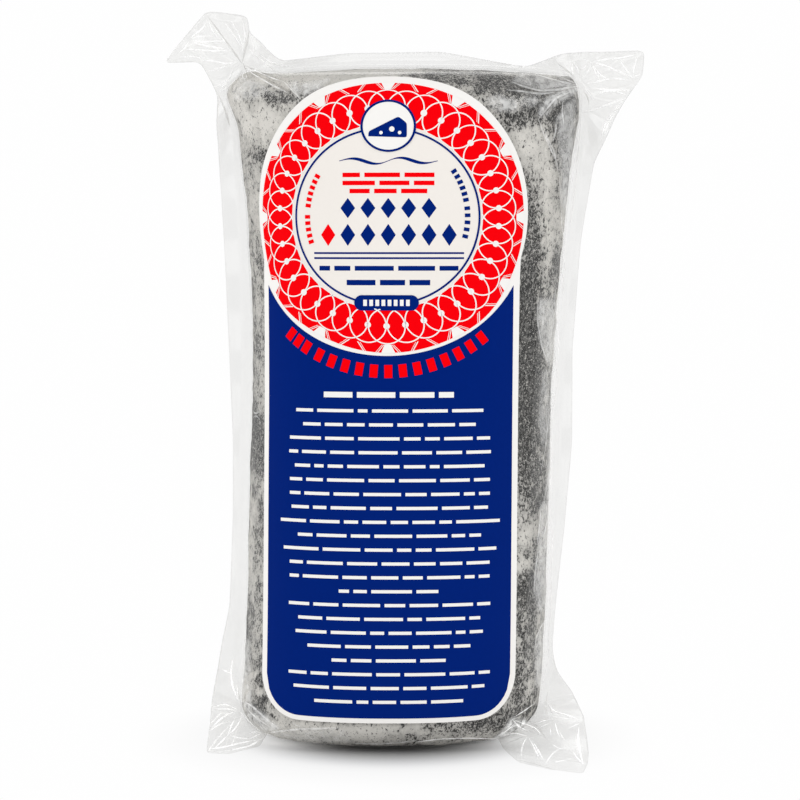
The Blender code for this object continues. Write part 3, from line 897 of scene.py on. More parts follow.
def rounded_route(corners, step, passes):
    """Closely spaced points along a route, with its corners rounded."""
    points = []
    for start, end in zip(corners, corners[1:]):
        count = max(1, round(math.dist(start, end) / step))
        for part in range(count):
            points.append(Vector(start).lerp(Vector(end), part / count))
    points = np.array(points + [Vector(corners[-1])])
    for _ in range(passes):
        points[1:-1] = 0.25 * points[:-2] + 0.5 * points[1:-1] + 0.25 * points[2:]
    return points


def film_edge():
    """The bag's edge as closely spaced (x, z) points with rounded corners."""
    left = (*LOWER_LEFT_EAR, *LEFT_FIN, *UPPER_LEFT_EAR)
    right = (*UPPER_RIGHT_EAR, *RIGHT_FIN, *LOWER_RIGHT_EAR)
    return rounded_route((*left, *TOP_SEAM, *right), EDGE_STEP, EDGE_SMOOTHING)


def film_root():
    """The sheets' inner limit on the log, from the right foot over the top to the left foot."""
    low = BASE_CROWN + 0.5 * BASE_ROUND
    high = SHOULDER_HEIGHT - ROOT_INSET
    heights = np.linspace(low, high, round((high - low) / ROOT_STEP))
    right = np.stack((centre_x(heights) + half_width(heights) - ROOT_INSET, heights), axis=1)
    left = np.stack((centre_x(heights) - half_width(heights) + ROOT_INSET, heights), axis=1)[::-1]
    count = round((right[-1][0] - left[0][0]) / ROOT_STEP)
    across = np.linspace(right[-1][0], left[0][0], count)[1:-1]
    top = np.stack((across, np.full(len(across), high)), axis=1)
    return np.concatenate((right, top, left))


def web_depth(x, z):
    """Half depth of the bag at each (x, z), where the sheets slope off the log to the fins."""
    xs = np.arange(*WEB_ACROSS, WEB_STEP)
    zs = np.arange(*WEB_UP, WEB_STEP)
    height, wide, deep, _ = log_level(np.linspace(BASE_TRAVEL, TOP_TRAVEL, WEB_SAMPLES))
    wide_at = np.interp(zs, height, wide, left=0.0, right=0.0)
    deep_at = np.interp(zs, height, deep, left=0.0, right=0.0)
    share = np.abs(xs - centre_x(zs)[:, None]) / np.maximum(wide_at, TINY)[:, None]
    inside = np.clip(1.0 - share**SECTION_POWER, 0.0, 1.0) ** (1.0 / SECTION_POWER)
    depth = deep_at[:, None] * inside
    for _ in range(round(HALF_DEPTH / WEB_SLOPE_ACROSS / WEB_STEP)):
        for axis, slope in ((1, WEB_SLOPE_ACROSS), (0, WEB_SLOPE_UP)):
            beside = np.maximum(np.roll(depth, 1, axis), np.roll(depth, -1, axis))
            depth = np.maximum(depth, beside - WEB_STEP * slope)
    for _ in range(WEB_SMOOTHING):
        for axis in (0, 1):
            depth = 0.5 * depth + 0.25 * (np.roll(depth, 1, axis) + np.roll(depth, -1, axis))
    return grid_values(depth, (x - xs[0]) / WEB_STEP, (z - zs[0]) / WEB_STEP)


def flat_sheet(mesh_size):
    """Points and triangles of the flat sheet, which of them lie on its outer edge, and that edge."""
    edge = film_edge()
    outline = np.concatenate((edge, film_root()))
    low = outline.min(axis=0)
    high = outline.max(axis=0)
    rows = np.arange(low[1], high[1], mesh_size * math.sqrt(0.75))
    columns = np.arange(low[0], high[0], mesh_size)
    x = columns + 0.5 * mesh_size * (np.arange(len(rows)) % 2)[:, None]
    inner = np.stack(np.broadcast_arrays(x, rows[:, None]), axis=2).reshape(-1, 2)
    inner = inner[nearest(inner, outline) > MESH_MARGIN * mesh_size]
    corners = [Vector(point) for point in (*outline, *inner)]
    limits = [list(range(len(outline)))]
    coordinates, _, faces, origins, _, _ = delaunay_2d_cdt(corners, [], limits, 1, POINT_MERGE)
    faces = np.array(faces)
    used = np.zeros(len(coordinates), bool)
    used[faces] = True
    number = np.cumsum(used) - 1
    on_edge = np.array([any(origin < len(edge) for origin in origin_list) for origin_list in origins])
    return np.array(coordinates)[used], number[faces], on_edge[used], edge


# Places in the picture

def picture_ray(place, facing):
    """Direction through a point of the picture, from the camera or from its mirror behind the pack."""
    across = (place[0] - 0.5 * PICTURE_WIDTH) / FOCAL_PIXELS
    down = (place[1] - 0.5 * PICTURE_WIDTH) / FOCAL_PIXELS
    pitch = math.radians(CAMERA_PITCH)
    forward = math.cos(pitch) - down * math.sin(pitch)
    return Vector((across, -facing * forward, -math.sin(pitch) - down * math.cos(pitch)))


def picture_places(points):
    """Where points of the pack, in millimetres, are seen in the picture."""
    pitch = math.radians(CAMERA_PITCH)
    forward = points[..., 1] + CAMERA_DISTANCE
    rise = points[..., 2] - CAMERA_HEIGHT
    depth = forward * math.cos(pitch) - rise * math.sin(pitch)
    up = forward * math.sin(pitch) + rise * math.cos(pitch)
    middle = 0.5 * PICTURE_WIDTH
    return middle + FOCAL_PIXELS * points[..., 0] / depth, middle - FOCAL_PIXELS * up / depth


def haze_and_sheen_values(points):
    """Share of milk at each point, from the patches where the film stands off and from the painted sheen on
    the shoulder.
    """
    px, py = picture_places(points)
    haze = np.zeros(px.shape)
    for corners, strength in HAZE_AND_SHEEN_PATCHES:
        inside = np.zeros(px.shape, bool)
        away = np.full(px.shape, np.inf)
        for (ax, ay), (bx, by) in zip(corners, (*corners[1:], corners[0])):
            crosses = (ay > py) != (by > py)
            reach = ax + (py - ay) * (bx - ax) / (by - ay if by != ay else 1.0)
            inside ^= crosses & (px < reach)
            along = (px - ax) * (bx - ax) + (py - ay) * (by - ay)
            share = np.clip(along / math.dist((ax, ay), (bx, by)) ** 2, 0.0, 1.0)
            away = np.minimum(away, np.hypot(px - ax - share * (bx - ax), py - ay - share * (by - ay)))
        depth = np.where(inside, away, -away)
        haze = np.maximum(haze, strength * smooth_step(0.5 + 0.5 * depth / HAZE_SOFTNESS))
    return haze * smooth_step(-points[..., 1] - HAZE_FRONT)


def cloud_values(points):
    """Ash above nought and lightening below it at each point, from the list of clouds."""
    px, py = picture_places(points)
    tone = np.zeros(px.shape)
    for middle_x, middle_y, half_x, half_y, strength in CLOUDS:
        away = ((px - middle_x) / half_x) ** 2 + ((py - middle_y) / half_y) ** 2
        tone += strength * np.exp(-CLOUD_FALL * away)
    return np.clip(tone, *CLOUD_LIMITS) * smooth_step(-points[..., 1] / CLOUD_FRONT)


def film_surface():
    """The outermost film, to lay folds on."""
    shape = bmesh.new()
    for name in ("tight_film", "fins_and_ears"):
        shape.from_mesh(bpy.data.objects[name].data)
    surface = BVHTree.FromBMesh(shape)
    shape.free()
    return surface


def fold_lines(routes, width, facing, surface, slide):
    """A mesh of lines that follow the routes, slid down, over the film, with their widths and directions."""
    start = Vector((0.0, facing * CAMERA_DISTANCE, CAMERA_HEIGHT)) * MM
    points = []
    normals = []
    widths = []
    edges = []
    for route in routes:
        places = rounded_route(route, FOLD_STEP, FOLD_SMOOTHING)
        previous = None
        for number, place in enumerate(places):
            hit, normal, _, _ = surface.ray_cast(start, picture_ray((place[0], place[1] + slide), facing))
            if hit is None:
                previous = None
                continue
            if normal.y * facing < 0.0:
                normal = -normal
            if previous is not None and (hit - points[previous]).length > FOLD_JUMP * MM:
                previous = None
            points.append(hit + FOLD_LIFT * MM * normal)
            normals.append(normal)
            left = len(places) - 1 - number
            widths.append(width * MM * min(1.0, (min(number, left) + FOLD_TIP) / FOLD_END))
            if previous is not None:
                edges.append((previous, len(points) - 1))
            previous = len(points) - 1
    mesh = bpy.data.meshes.new("fold_lines")
    mesh.from_pydata(points, edges, [])
    add_values(mesh, "line_width", widths)
    add_values(mesh, "line_normal", normals)
    return mesh


class NodeMaker:
    """Adds nodes to a tree, with every input given as a socket or as a plain value."""

    def __init__(self, tree):
        self.tree = tree

    def node(self, kind, inputs=None, **settings):
        """A node with its settings and with its inputs, which are found by name or number."""
        node = self.tree.nodes.new(kind)
        for name, value in settings.items():
            setattr(node, name, value)
        for name, value in (inputs or {}).items():
            named = (item for item in node.inputs if item.enabled and item.name == name)
            socket = node.inputs[name] if isinstance(name, int) else next(named)
            if isinstance(value, bpy.types.NodeSocket):
                self.tree.links.new(value, socket)
            else:
                socket.default_value = value
        return node

    def add(self, kind, inputs=None, **settings):
        """The first output in use of a new node."""
        return next(item for item in self.node(kind, inputs, **settings).outputs if item.enabled)

    def math(self, operation, first, second=0.0):
        return self.add("ShaderNodeMath", {0: first, 1: second}, operation=operation)

    def product(self, first, second):
        return self.math("MULTIPLY", first, second)

    def total(self, first, second):
        return self.math("ADD", first, second)

    def less(self, first, second):
        return self.math("SUBTRACT", first, second)

    def vector(self, **parts):
        return self.add("ShaderNodeCombineXYZ", parts)

    def length(self, vector):
        return self.add("ShaderNodeVectorMath", {0: vector}, operation="LENGTH")

    def place(self):
        """Where a shaded point lies on its object."""
        return self.node("ShaderNodeTexCoord").outputs["Object"]

    def carried(self, name):
        """A value that the shaded mesh carries."""
        return self.node("ShaderNodeAttribute", attribute_name=name).outputs["Fac"]

    def noise(self, vector, size, detail, roughness=0.55, distortion=0.0):
        """Noise whose lumps have the given size in millimetres."""
        look = {"Detail": detail, "Roughness": roughness, "Distortion": distortion}
        return self.add("ShaderNodeTexNoise", {"Vector": vector, "Scale": 1.0 / (size * MM), **look})

    def ramp(self, value, low, high, to_low=0.0, to_high=1.0):
        """The value between low and high, as a share between to_low and to_high."""
        limits = {"From Min": low, "From Max": high, "To Min": to_low, "To Max": to_high}
        return self.add("ShaderNodeMapRange", {"Value": value, **limits}, interpolation_type="SMOOTHSTEP")

    def colours(self, share, first, second):
        """A colour between two colours, each a socket or a colour."""
        return self.add("ShaderNodeMix", {"Factor": share, "A": first, "B": second}, data_type="RGBA")

    def shaders(self, share, first, second):
        """A shader between two shaders."""
        return self.add("ShaderNodeMixShader", {0: share, 1: first, 2: second})

    def bump(self, height, strength, distance):
        """A normal from a height, whose distance is in millimetres."""
        return self.add("ShaderNodeBump", {"Height": height, "Strength": strength, "Distance": distance * MM})

    def surface(self, colour, roughness, specular, **more):
        look = {"Base Color": colour, "Roughness": roughness, "Specular IOR Level": specular}
        return self.add("ShaderNodeBsdfPrincipled", {**look, **more})

    def value_of(self, name, kind="FLOAT"):
        """A value or vector that the points of a tree's geometry carry."""
        return self.add("GeometryNodeInputNamedAttribute", {"Name": name}, data_type=kind)

    def instances(self, points, shape, **more):
        return self.add("GeometryNodeInstanceOnPoints", {"Points": points, "Instance": shape, **more})


# Materials

def new_material(name):
    """An empty node material and the maker of its nodes."""
    material = bpy.data.materials.new(name)
    material.use_nodes = True
    material.node_tree.nodes.clear()
    return material, NodeMaker(material.node_tree)


def rind_material(settings):
    """Matt ash rind: flecks of ash crowd into dark clouds on pale bloom, with pale threads over them."""
    material, make = new_material("ash_rind")
    place = make.place()
    crowd = make.product(make.carried("ash"), ASH_SHARE)
    for share, *look in ASH_NOISE:
        crowd = make.total(crowd, make.product(make.less(make.noise(place, *look), NOISE_MIDDLE), share))
    stretched = make.add("ShaderNodeMapping", {"Vector": place, "Scale": GRAIN_STRETCH})
    grain = make.noise(stretched, *GRAIN_NOISE)
    held = make.math("MINIMUM", make.math("MAXIMUM", crowd, LEAST_CROWD), MOST_CROWD)
    flecks = make.product(make.ramp(make.total(grain, held), *FLECK_RANGE), FLECK_SHARE)
    body = make.colours(make.ramp(crowd, *GREY_RANGE), settings.pale, settings.grey)
    body = make.colours(flecks, body, settings.dark)
    threads = make.ramp(make.noise(place, *THREAD_NOISE), *THREAD_RANGE)
    body = make.colours(threads, body, settings.pale)
    normal = make.bump(grain, strength=0.6, distance=0.25)
    rind = make.surface(body, roughness=0.9, specular=0.15, Normal=normal)
    make.node("ShaderNodeOutputMaterial", {"Surface": rind})
    return material


def film_material(settings, name, tint, shine, streaks):
    """Clear film: it shines a little, more where it turns away, and is milky by its carried share of milk,
    which in places is a painted sheen.
    """
    material, make = new_material(name)
    clear = make.add("ShaderNodeBsdfTransparent", {"Color": tint})
    gloss = make.add("ShaderNodeBsdfGlossy", {"Color": (1.0, 1.0, 1.0, 1.0), "Roughness": FILM_ROUGHNESS})
    facing = make.node("ShaderNodeLayerWeight", {"Blend": 0.5}).outputs["Facing"]
    grazing = make.product(make.math("POWER", facing, GRAZE_POWER), settings.graze)
    film = make.shaders(make.total(grazing, shine), clear, gloss)
    milk = make.surface(settings.milk, roughness=0.3, specular=0.2)
    streak = make.noise(make.place(), *STREAK_NOISE)
    uneven = make.ramp(streak, *NOISE_RANGE, 1.0 - streaks, 1.0 + STREAK_RISE * streaks)
    # Milk by the carried share: milky film where it stands off, and a painted sheen on the shoulder
    whole = make.shaders(make.product(make.carried("haze"), uneven), film, milk)
    make.node("ShaderNodeOutputMaterial", {"Surface": whole})
    return material


def fold_material(name, colour, share, roughness):
    """Sharp fold of the film as a thin line: a white line is partly stretched film and partly a painted
    highlight, a grey line is painted shade beside gathered film.
    """
    material, make = new_material(name)
    skin = make.surface(colour, roughness, specular=0.4)
    through = make.add("ShaderNodeBsdfTranslucent", {"Color": colour})
    # Diffuse and translucent added together give back more light than reaches the line: a painted highlight
    # on the white folds
    film = make.add("ShaderNodeAddShader", {0: skin, 1: through})
    clear = make.add("ShaderNodeBsdfTransparent")
    cover = make.ramp(make.noise(make.place(), *FOLD_NOISE), *NOISE_RANGE, 0.5 * share, share)
    make.node("ShaderNodeOutputMaterial", {"Surface": make.shaders(cover, clear, film)})
    return material


def print_material(name, colour, mottle):
    """Satin paper or ink with a faint mottle and a slightly uneven surface."""
    material, make = new_material(name)
    place = make.place()
    shade = [(1.0 - mottle) * value for value in colour[:3]]
    body = make.colours(make.noise(place, *MOTTLE_NOISE), colour, (*shade, 1.0))
    normal = make.bump(make.noise(place, *PAPER_NOISE), strength=0.25, distance=0.6)
    paper = make.surface(body, roughness=0.38, specular=0.02, Normal=normal)
    make.node("ShaderNodeOutputMaterial", {"Surface": paper})
    return material


def find_material(name):
    """A material of the sticker, made once."""
    settings = bpy.context.scene.sticker_settings
    looks = {
        "sticker_paper": (settings.paper, 0.03),
        "cream_ink": (settings.cream, 0.03),
        "navy_ink": (settings.navy, 0.12),
        "red_ink": (settings.red, 0.05),
    }
    return bpy.data.materials.get(name) or print_material(name, *looks[name])


# Sticker surface

class StickerMap:
    """Points on the sticker by distance across from its centre line and distance up the front."""

    step = 0.5
    reach = 32.0
    top = 118.0
    samples = 721

    def __init__(self):
        offsets = np.arange(-self.reach, self.reach + self.step, self.step)
        travels = np.arange(0.0, self.top + self.step, self.step)
        self.values = np.array([self.row(travel, offsets) for travel in travels])

    def row(self, travel, offsets):
        """Points and outward normals along a line across the sticker."""
        height, wide, deep, slope = log_level(np.array(travel))
        x, y = section_points(wide, deep, np.linspace(math.pi, TURN, self.samples))
        length = path_lengths(x, y)
        start = np.interp(LABEL_CENTRE_X - centre_x(height), x, length)
        px = np.interp(start + offsets, length, x)
        py = np.interp(start + offsets, length, y)
        steep = SECTION_POWER - 1.0
        nx = np.sign(px) * np.abs(px / wide) ** steep / wide
        ny = -(np.abs(py / deep) ** steep) / deep
        size = np.hypot(nx, ny)
        tilt = np.cos(slope)
        out, rise = corner_shift(px, height)
        place = (centre_x(height) + px + out, py, height + rise)
        normal = (tilt * nx / size, tilt * ny / size, np.full_like(px, np.sin(slope)))
        return np.stack((*place, *normal), axis=1)

    def points(self, across, travel, lift):
        """Points at a height over the log, in millimetres."""
        mixed = grid_values(self.values, (across + self.reach) / self.step, travel / self.step)
        return mixed[..., :3] + lift * mixed[..., 3:]


sticker_map = StickerMap()


def ink_piece(name, across, travel, faces, layer, ink):
    """A printed piece from places on the sticker, as high over the log as its layer of ink."""
    settings = bpy.context.scene.sticker_settings
    points = sticker_map.points(across, travel, PAPER_TOP + layer * settings.ink_lift / MM)
    new_piece(name, points.reshape(-1, 3), faces, find_material(ink))


def ink_patch(name, across, travel, layer, ink):
    """A printed patch from a grid of places on the sticker."""
    across, travel = np.broadcast_arrays(across, travel)
    rows, columns = across.shape
    ink_piece(name, across, travel, grid_faces(columns - 1, rows - 1), layer, ink)


def ring_patch(name, centre, inner, outer, layer, ink, sides, rings=1, flatten=1.0):
    """A printed ring or, from a radius of almost nothing, a disc."""
    angles = np.linspace(0.0, TURN, sides + 1)
    radius = np.linspace(outer, inner, rings + 1)[:, None]
    across = centre[0] + radius * np.cos(angles)
    ink_patch(name, across, centre[1] + flatten * radius * np.sin(angles), layer, ink)


def ring_places(x, y):
    """Places on the sticker for a round ring, put between two ovals and drawn out at its lower corners."""
    radius = np.hypot(x, y)
    share = (radius - RING_INNER) / (RING_OUTER - RING_INNER)
    middle, wide, tall = (low + share * (high - low) for low, high in zip(*RING_OVALS))
    across = middle + wide * x / radius
    up = tall * y / radius
    for pull_x, pull_y, spread, reach in RING_PULLS:
        pull = 1.0 + reach / radius * np.exp(-((across - pull_x) ** 2 + (up - pull_y) ** 2) / spread**2)
        across = across * pull
        up = up * pull
    return across, RED_RING_HEIGHT + up


def label_half_width(travel):
    """Half width of the sticker at a distance up the front."""
    corner = np.clip((LABEL_FOOT_HEIGHT + LABEL_CORNER_RADIUS - travel) / LABEL_CORNER_RADIUS, 0.0, 1.0)
    body = LABEL_HALF_WIDTH - LABEL_CORNER_RADIUS * (1.0 - np.sqrt(1.0 - corner**2))
    rise = (travel - LABEL_HEAD_HEIGHT) / LABEL_HEAD_DEPTH
    head = LABEL_HEAD_WIDTH * np.sqrt(np.maximum(0.0, 1.0 - rise**2))
    return np.where(travel > LABEL_HEAD_HEIGHT, head, np.maximum(body, head))


# Geometry Nodes that lay out the print, in flat millimetres

RING_NUMBERS = ("Centre Height", "Radius", "First Turn")


def new_tree(name, numbers, counts=()):
    """The maker of a tree's nodes and its inputs: geometry, the named ones and a material."""
    tree = bpy.data.node_groups.new(name, "GeometryNodeTree")
    kinds = {"Geometry": "Geometry", **dict.fromkeys(numbers, "Float"), **dict.fromkeys(counts, "Int")}
    for label, kind in {**kinds, "Material": "Material"}.items():
        tree.interface.new_socket(label, in_out="INPUT", socket_type=f"NodeSocket{kind}")
    tree.interface.new_socket("Geometry", in_out="OUTPUT", socket_type="NodeSocketGeometry")
    make = NodeMaker(tree)
    return make, make.node("NodeGroupInput").outputs


def finish_tree(make, geometry, given):
    """Ends a tree with real geometry that carries its material."""
    real = make.add("GeometryNodeRealizeInstances", {"Geometry": geometry})
    coloured = make.add("GeometryNodeSetMaterial", {"Geometry": real, "Material": given["Material"]})
    make.node("NodeGroupOutput", {"Geometry": coloured})
    return make.tree


def laid_out(tree, values, source=None):
    """The plain flat mesh that a tree makes of the source mesh with the given named inputs."""
    carrier = bpy.data.objects.new(tree.name, source or bpy.data.meshes.new(tree.name))
    bpy.context.scene.collection.objects.link(carrier)
    modifier = carrier.modifiers.new(tree.name, "NODES")
    modifier.node_group = tree
    for item in tree.interface.items_tree:
        if item.in_out == "INPUT" and item.name in values:
            modifier[item.identifier] = values[item.name]
    graph = bpy.context.evaluated_depsgraph_get()
    flat = bpy.data.meshes.new_from_object(carrier.evaluated_get(graph))
    old = carrier.data
    bpy.data.objects.remove(carrier, do_unlink=True)
    bpy.data.meshes.remove(old)
    return flat


def tree_print(name, tree, values, layer, ink, source=None, places_of=None):
    """A printed piece that a tree lays out flat, with X across and Y up the sticker in millimetres."""
    flat = laid_out(tree, {**values, "Material": find_material(ink)}, source)
    places = np.zeros(3 * len(flat.vertices))
    flat.vertices.foreach_get("co", places)
    across, travel, _ = places.reshape(-1, 3).T
    if places_of:
        across, travel = places_of(across, travel)
    faces = [tuple(face.vertices) for face in flat.polygons]
    bpy.data.meshes.remove(flat)
    ink_piece(name, across, travel, faces, layer, ink)


def point_circle(make, given):
    circle = {"Vertices": given["Count"], "Radius": given["Radius"]}
    return make.add("GeometryNodeMeshCircle", circle)


def turned_and_raised(make, geometry, given):
    """Geometry turned by the first turn and moved up to the centre."""
    shift = make.vector(Y=given["Centre Height"])
    turn = make.vector(Z=given["First Turn"])
    move = {"Geometry": geometry, "Translation": shift, "Rotation": turn}
    return make.add("GeometryNodeTransform", move)


def unit_grid(make, columns, rows):
    """A square of one by one, and the parts of its points' positions."""
    sides = {"Size X": 1.0, "Size Y": 1.0, "Vertices X": columns, "Vertices Y": rows}
    corner = make.node("ShaderNodeSeparateXYZ", {"Vector": make.add("GeometryNodeInputPosition")})
    return make.add("GeometryNodeMeshGrid", sides), corner.outputs


def ring_loops_tree():
    """Oval lines that overlap on a circle, cut off inside the ring."""
    numbers = ("Loop Width", "Loop Depth", "Line Width", "Cut Radius")
    make, given = new_tree("ring_loops", (*RING_NUMBERS, *numbers), ("Count",))
    unit = make.add("GeometryNodeCurvePrimitiveCircle", {"Resolution": LOOP_SIDES, "Radius": 1.0})
    size = make.vector(X=given["Loop Depth"], Y=given["Loop Width"], Z=1.0)
    oval = make.add("GeometryNodeTransform", {"Geometry": unit, "Scale": size})
    upright = make.add("GeometryNodeSetCurveNormal", {"Curve": oval}, mode="Z_UP")
    half = make.product(given["Line Width"], 0.5)
    ends = {"Start": make.vector(X=make.product(half, -1.0)), "End": make.vector(X=half)}
    profile = make.add("GeometryNodeCurvePrimitiveLine", ends)
    ribbon = make.add("GeometryNodeCurveToMesh", {"Curve": upright, "Profile Curve": profile})
    share = make.math("DIVIDE", make.add("GeometryNodeInputIndex"), given["Count"])
    turn = make.vector(Z=make.product(share, TURN))
    loops = make.instances(point_circle(make, given), ribbon, Rotation=turn)
    real = make.add("GeometryNodeRealizeInstances", {"Geometry": loops})
    distance = make.length(make.add("GeometryNodeInputPosition"))
    inside = make.math("LESS_THAN", distance, given["Cut Radius"])
    rest = make.add("GeometryNodeDeleteGeometry", {"Geometry": real, "Selection": inside}, domain="FACE")
    return finish_tree(make, turned_and_raised(make, rest, given), given)


def arc_marks_tree():
    """Equal marks on an arc, each turned towards the arc's centre and tapered that way if asked."""
    arc = ("Centre Height", "Radius", "First Angle", "Angle Step")
    mark = ("Mark Width", "Mark Depth", "Taper", "Slant")
    make, given = new_tree("arc_marks", (*arc, *mark), ("Count",))
    points = make.add("GeometryNodePoints", {"Count": given["Count"]})
    sweep = make.product(make.add("GeometryNodeInputIndex"), given["Angle Step"])
    turn = make.math("RADIANS", make.total(given["First Angle"], sweep))
    x, y = (make.product(given["Radius"], make.math(part, turn)) for part in ("COSINE", "SINE"))
    spot = make.vector(X=x, Y=make.total(y, given["Centre Height"]))
    placed = make.add("GeometryNodeSetPosition", {"Geometry": points, "Position": spot})
    mark, corner = unit_grid(make, MARK_POINTS, MARK_POINTS)
    narrow = make.less(1.0, make.product(make.total(corner["Y"], 0.5), given["Taper"]))
    width = make.product(narrow, given["Mark Width"])
    lean = make.product(corner["Y"], given["Slant"])
    across = make.total(make.product(corner["X"], width), lean)
    shape = make.vector(X=across, Y=make.product(corner["Y"], given["Mark Depth"]))
    shaped = make.add("GeometryNodeSetPosition", {"Geometry": mark, "Position": shape})
    spin = make.vector(Z=make.total(turn, QUARTER))
    return finish_tree(make, make.instances(placed, shaped, Rotation=spin), given)


def ring_dots_tree():
    """Round dots on a circle."""
    make, given = new_tree("ring_dots", (*RING_NUMBERS, "Dot Radius"), ("Count",))
    size = {"Vertices": DOT_SIDES, "Radius": given["Dot Radius"]}
    dot = make.add("GeometryNodeMeshCircle", size, fill_type="TRIANGLE_FAN")
    points = turned_and_raised(make, point_circle(make, given), given)
    return finish_tree(make, make.instances(points, dot), given)


def print_bars_tree():
    """A bar on each point, as long as its bar_length and as deep as its bar_depth, or a lozenge."""
    make, given = new_tree("print_bars", ("Pointed",), ("Columns", "Rows"))
    grid, corner = unit_grid(make, given["Columns"], given["Rows"])
    away = make.product(make.math("ABSOLUTE", corner["Y"]), 2.0)
    narrow = make.less(1.0, make.product(away, given["Pointed"]))
    shape = make.vector(X=make.product(corner["X"], narrow), Y=corner["Y"])
    bar = make.add("GeometryNodeSetPosition", {"Geometry": grid, "Position": shape})
    size = make.vector(X=make.value_of("bar_length"), Y=make.value_of("bar_depth"), Z=1.0)
    return finish_tree(make, make.instances(given["Geometry"], bar, Scale=size), given)


def fold_ridges_tree():
    """A low rounded ridge along each line, as wide as its line_width and facing its line_normal."""
    make, given = new_tree("fold_ridges", ("Height Share",))
    curve = make.add("GeometryNodeMeshToCurve", {"Mesh": given["Geometry"]})
    facing = {"Curve": curve, "Normal": make.value_of("line_normal", "FLOAT_VECTOR")}
    turned = make.add("GeometryNodeSetCurveNormal", facing, mode="FREE")
    half = {"Resolution": RIDGE_POINTS, "Radius": 0.5, "Start Angle": -QUARTER, "Sweep Angle": math.pi}
    arch = make.add("GeometryNodeCurveArc", half)
    low = make.vector(X=given["Height Share"], Y=1.0, Z=1.0)
    profile = make.add("GeometryNodeTransform", {"Geometry": arch, "Scale": low})
    sides = {"Curve": turned, "Profile Curve": profile, "Scale": make.value_of("line_width")}
    return finish_tree(make, make.add("GeometryNodeCurveToMesh", sides), given)


def arc_values(radius, first, step, count, mark):
    """Inputs of arc_marks_tree for marks with the given width and depth."""
    arc = {"Radius": radius, "First Angle": first, "Angle Step": step, "Count": count}
    return {**arc, "Mark Width": mark[0], "Mark Depth": mark[1]}


def bar_points(bars):
    """A mesh of points for print_bars_tree from (across, up, length, depth) of each bar."""
    mesh = bpy.data.meshes.new("bar_points")
    across, up, length, depth = np.array(bars).T
    mesh.from_pydata(np.stack((across, up, np.zeros(len(bars))), axis=1).tolist(), [], [])
    add_values(mesh, "bar_length", length)
    add_values(mesh, "bar_depth", depth)
    return mesh


def words_of_line(up, width, depth, random):
    """Bars of word length that fill a line, as (across, up, length, depth)."""
    words = []
    left = -0.5 * width
    while left < 0.5 * width - SHORTEST_WORD:
        room = 0.5 * width - left
        length = min(room, random.uniform(SHORTEST_WORD, LONGEST_WORD))
        if room - length < SHORTEST_WORD + WORD_GAP:
            length = room
        words.append((PRINT_CENTRE + left + 0.5 * length, up, length, depth))
        left += length + WORD_GAP
    return words


# Operators

class CHEESE_OT_rind(Operator):
    """Build the cheese log with its ash rind"""

    bl_idname = "cheese_pack.rind"
    bl_label = "Rind"

    def execute(self, context):
        settings = context.scene.rind_settings
        points, normals = log_grid(settings.columns, settings.rows)
        lumps = sum(share * noise_values(points, size, seed) for share, size, seed in RIND_LUMPS)
        depth = np.minimum(settings.relief * lumps - settings.film_gap, -LEAST_GAP * MM) / MM
        every, faces = closed_log(points + depth[:, :, None] * normals)
        rind = new_piece("rind_log", every, faces, rind_material(settings))
        add_values(rind.data, "ash", cloud_values(every))
        return {"FINISHED"}


class CHEESE_OT_tight_film(Operator):
    """Build the film that is drawn tight over the log"""

    bl_idname = "cheese_pack.tight_film"
    bl_label = "Tight Film"

    def execute(self, context):
        rind = context.scene.rind_settings
        settings = context.scene.bag_settings
        points, normals = log_grid(rind.columns, rind.rows)
        x, y, z = np.moveaxis(points, 2, 0)
        lift = np.zeros_like(x)
        for seed, facing in FILM_SIDES:
            lift += smooth_step((facing * y - FOLDS_START) / FOLDS_SPAN) * film_folds(x, z, seed)
        share, size, seed = FILM_LUMPS
        lumps = share * noise_values(points, size, seed)
        shape = points + (lumps + FOLD_SHARE * np.maximum(lift, 0.0))[:, :, None] * normals
        shape[:, :, 2] = np.maximum(shape[:, :, 2], 0.0)
        every, faces = closed_log(shape)
        look = film_material(settings, "tight_film", settings.tight_tint, shine=0.035, streaks=0.6)
        film = new_piece("tight_film", every, faces, look)
        add_values(film.data, "haze", haze_and_sheen_values(every))
        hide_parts("sealed_bag")
        return {"FINISHED"}


class CHEESE_OT_fins_and_ears(Operator):
    """Build the two sheets of the bag that stand off the log: side fins, top seam and four ears"""

    bl_idname = "cheese_pack.fins_and_ears"
    bl_label = "Fins and Ears"

    def execute(self, context):
        settings = context.scene.bag_settings
        flat, faces, on_edge, edge = flat_sheet(settings.mesh_size / MM)
        x, z = flat.T
        loose = smooth_step(np.where(on_edge, 0.0, nearest(flat, edge)) / SEAL_WIDTH)
        web = web_depth(x, z) * smooth_step((z - WEB_LOW) / WEB_FADE)
        middle = film_pleats(x, z) * np.exp(-web / PLEAT_WEB)
        half = np.maximum(web, loose * settings.half_gap / MM)
        sheets = []
        for seed, facing in FILM_SIDES:
            lift = film_folds(x, z, seed)
            away = half + loose * (PUFF_SHARE * np.abs(lift))
            sheets.append(bent_points(x, z, middle + facing * away + FOLD_SHARE * lift * loose))
        number = np.arange(len(x))
        number[~on_edge] = len(x) + np.arange(np.count_nonzero(~on_edge))
        points = np.concatenate((sheets[0], sheets[1][~on_edge]))
        every = faces.tolist() + number[faces][:, ::-1].tolist()
        look = film_material(settings, "loose_film", settings.loose_tint, shine=0.05, streaks=0.04)
        film = new_piece("fins_and_ears", points, every, look)
        ears = settings.ear_milk * ear_share(x, z) * np.exp(-web / MILK_WEB)
        ears = np.concatenate((ears, ears[~on_edge]))
        add_values(film.data, "haze", np.maximum(LOOSE_HAZE * haze_and_sheen_values(points), ears))
        return {"FINISHED"}


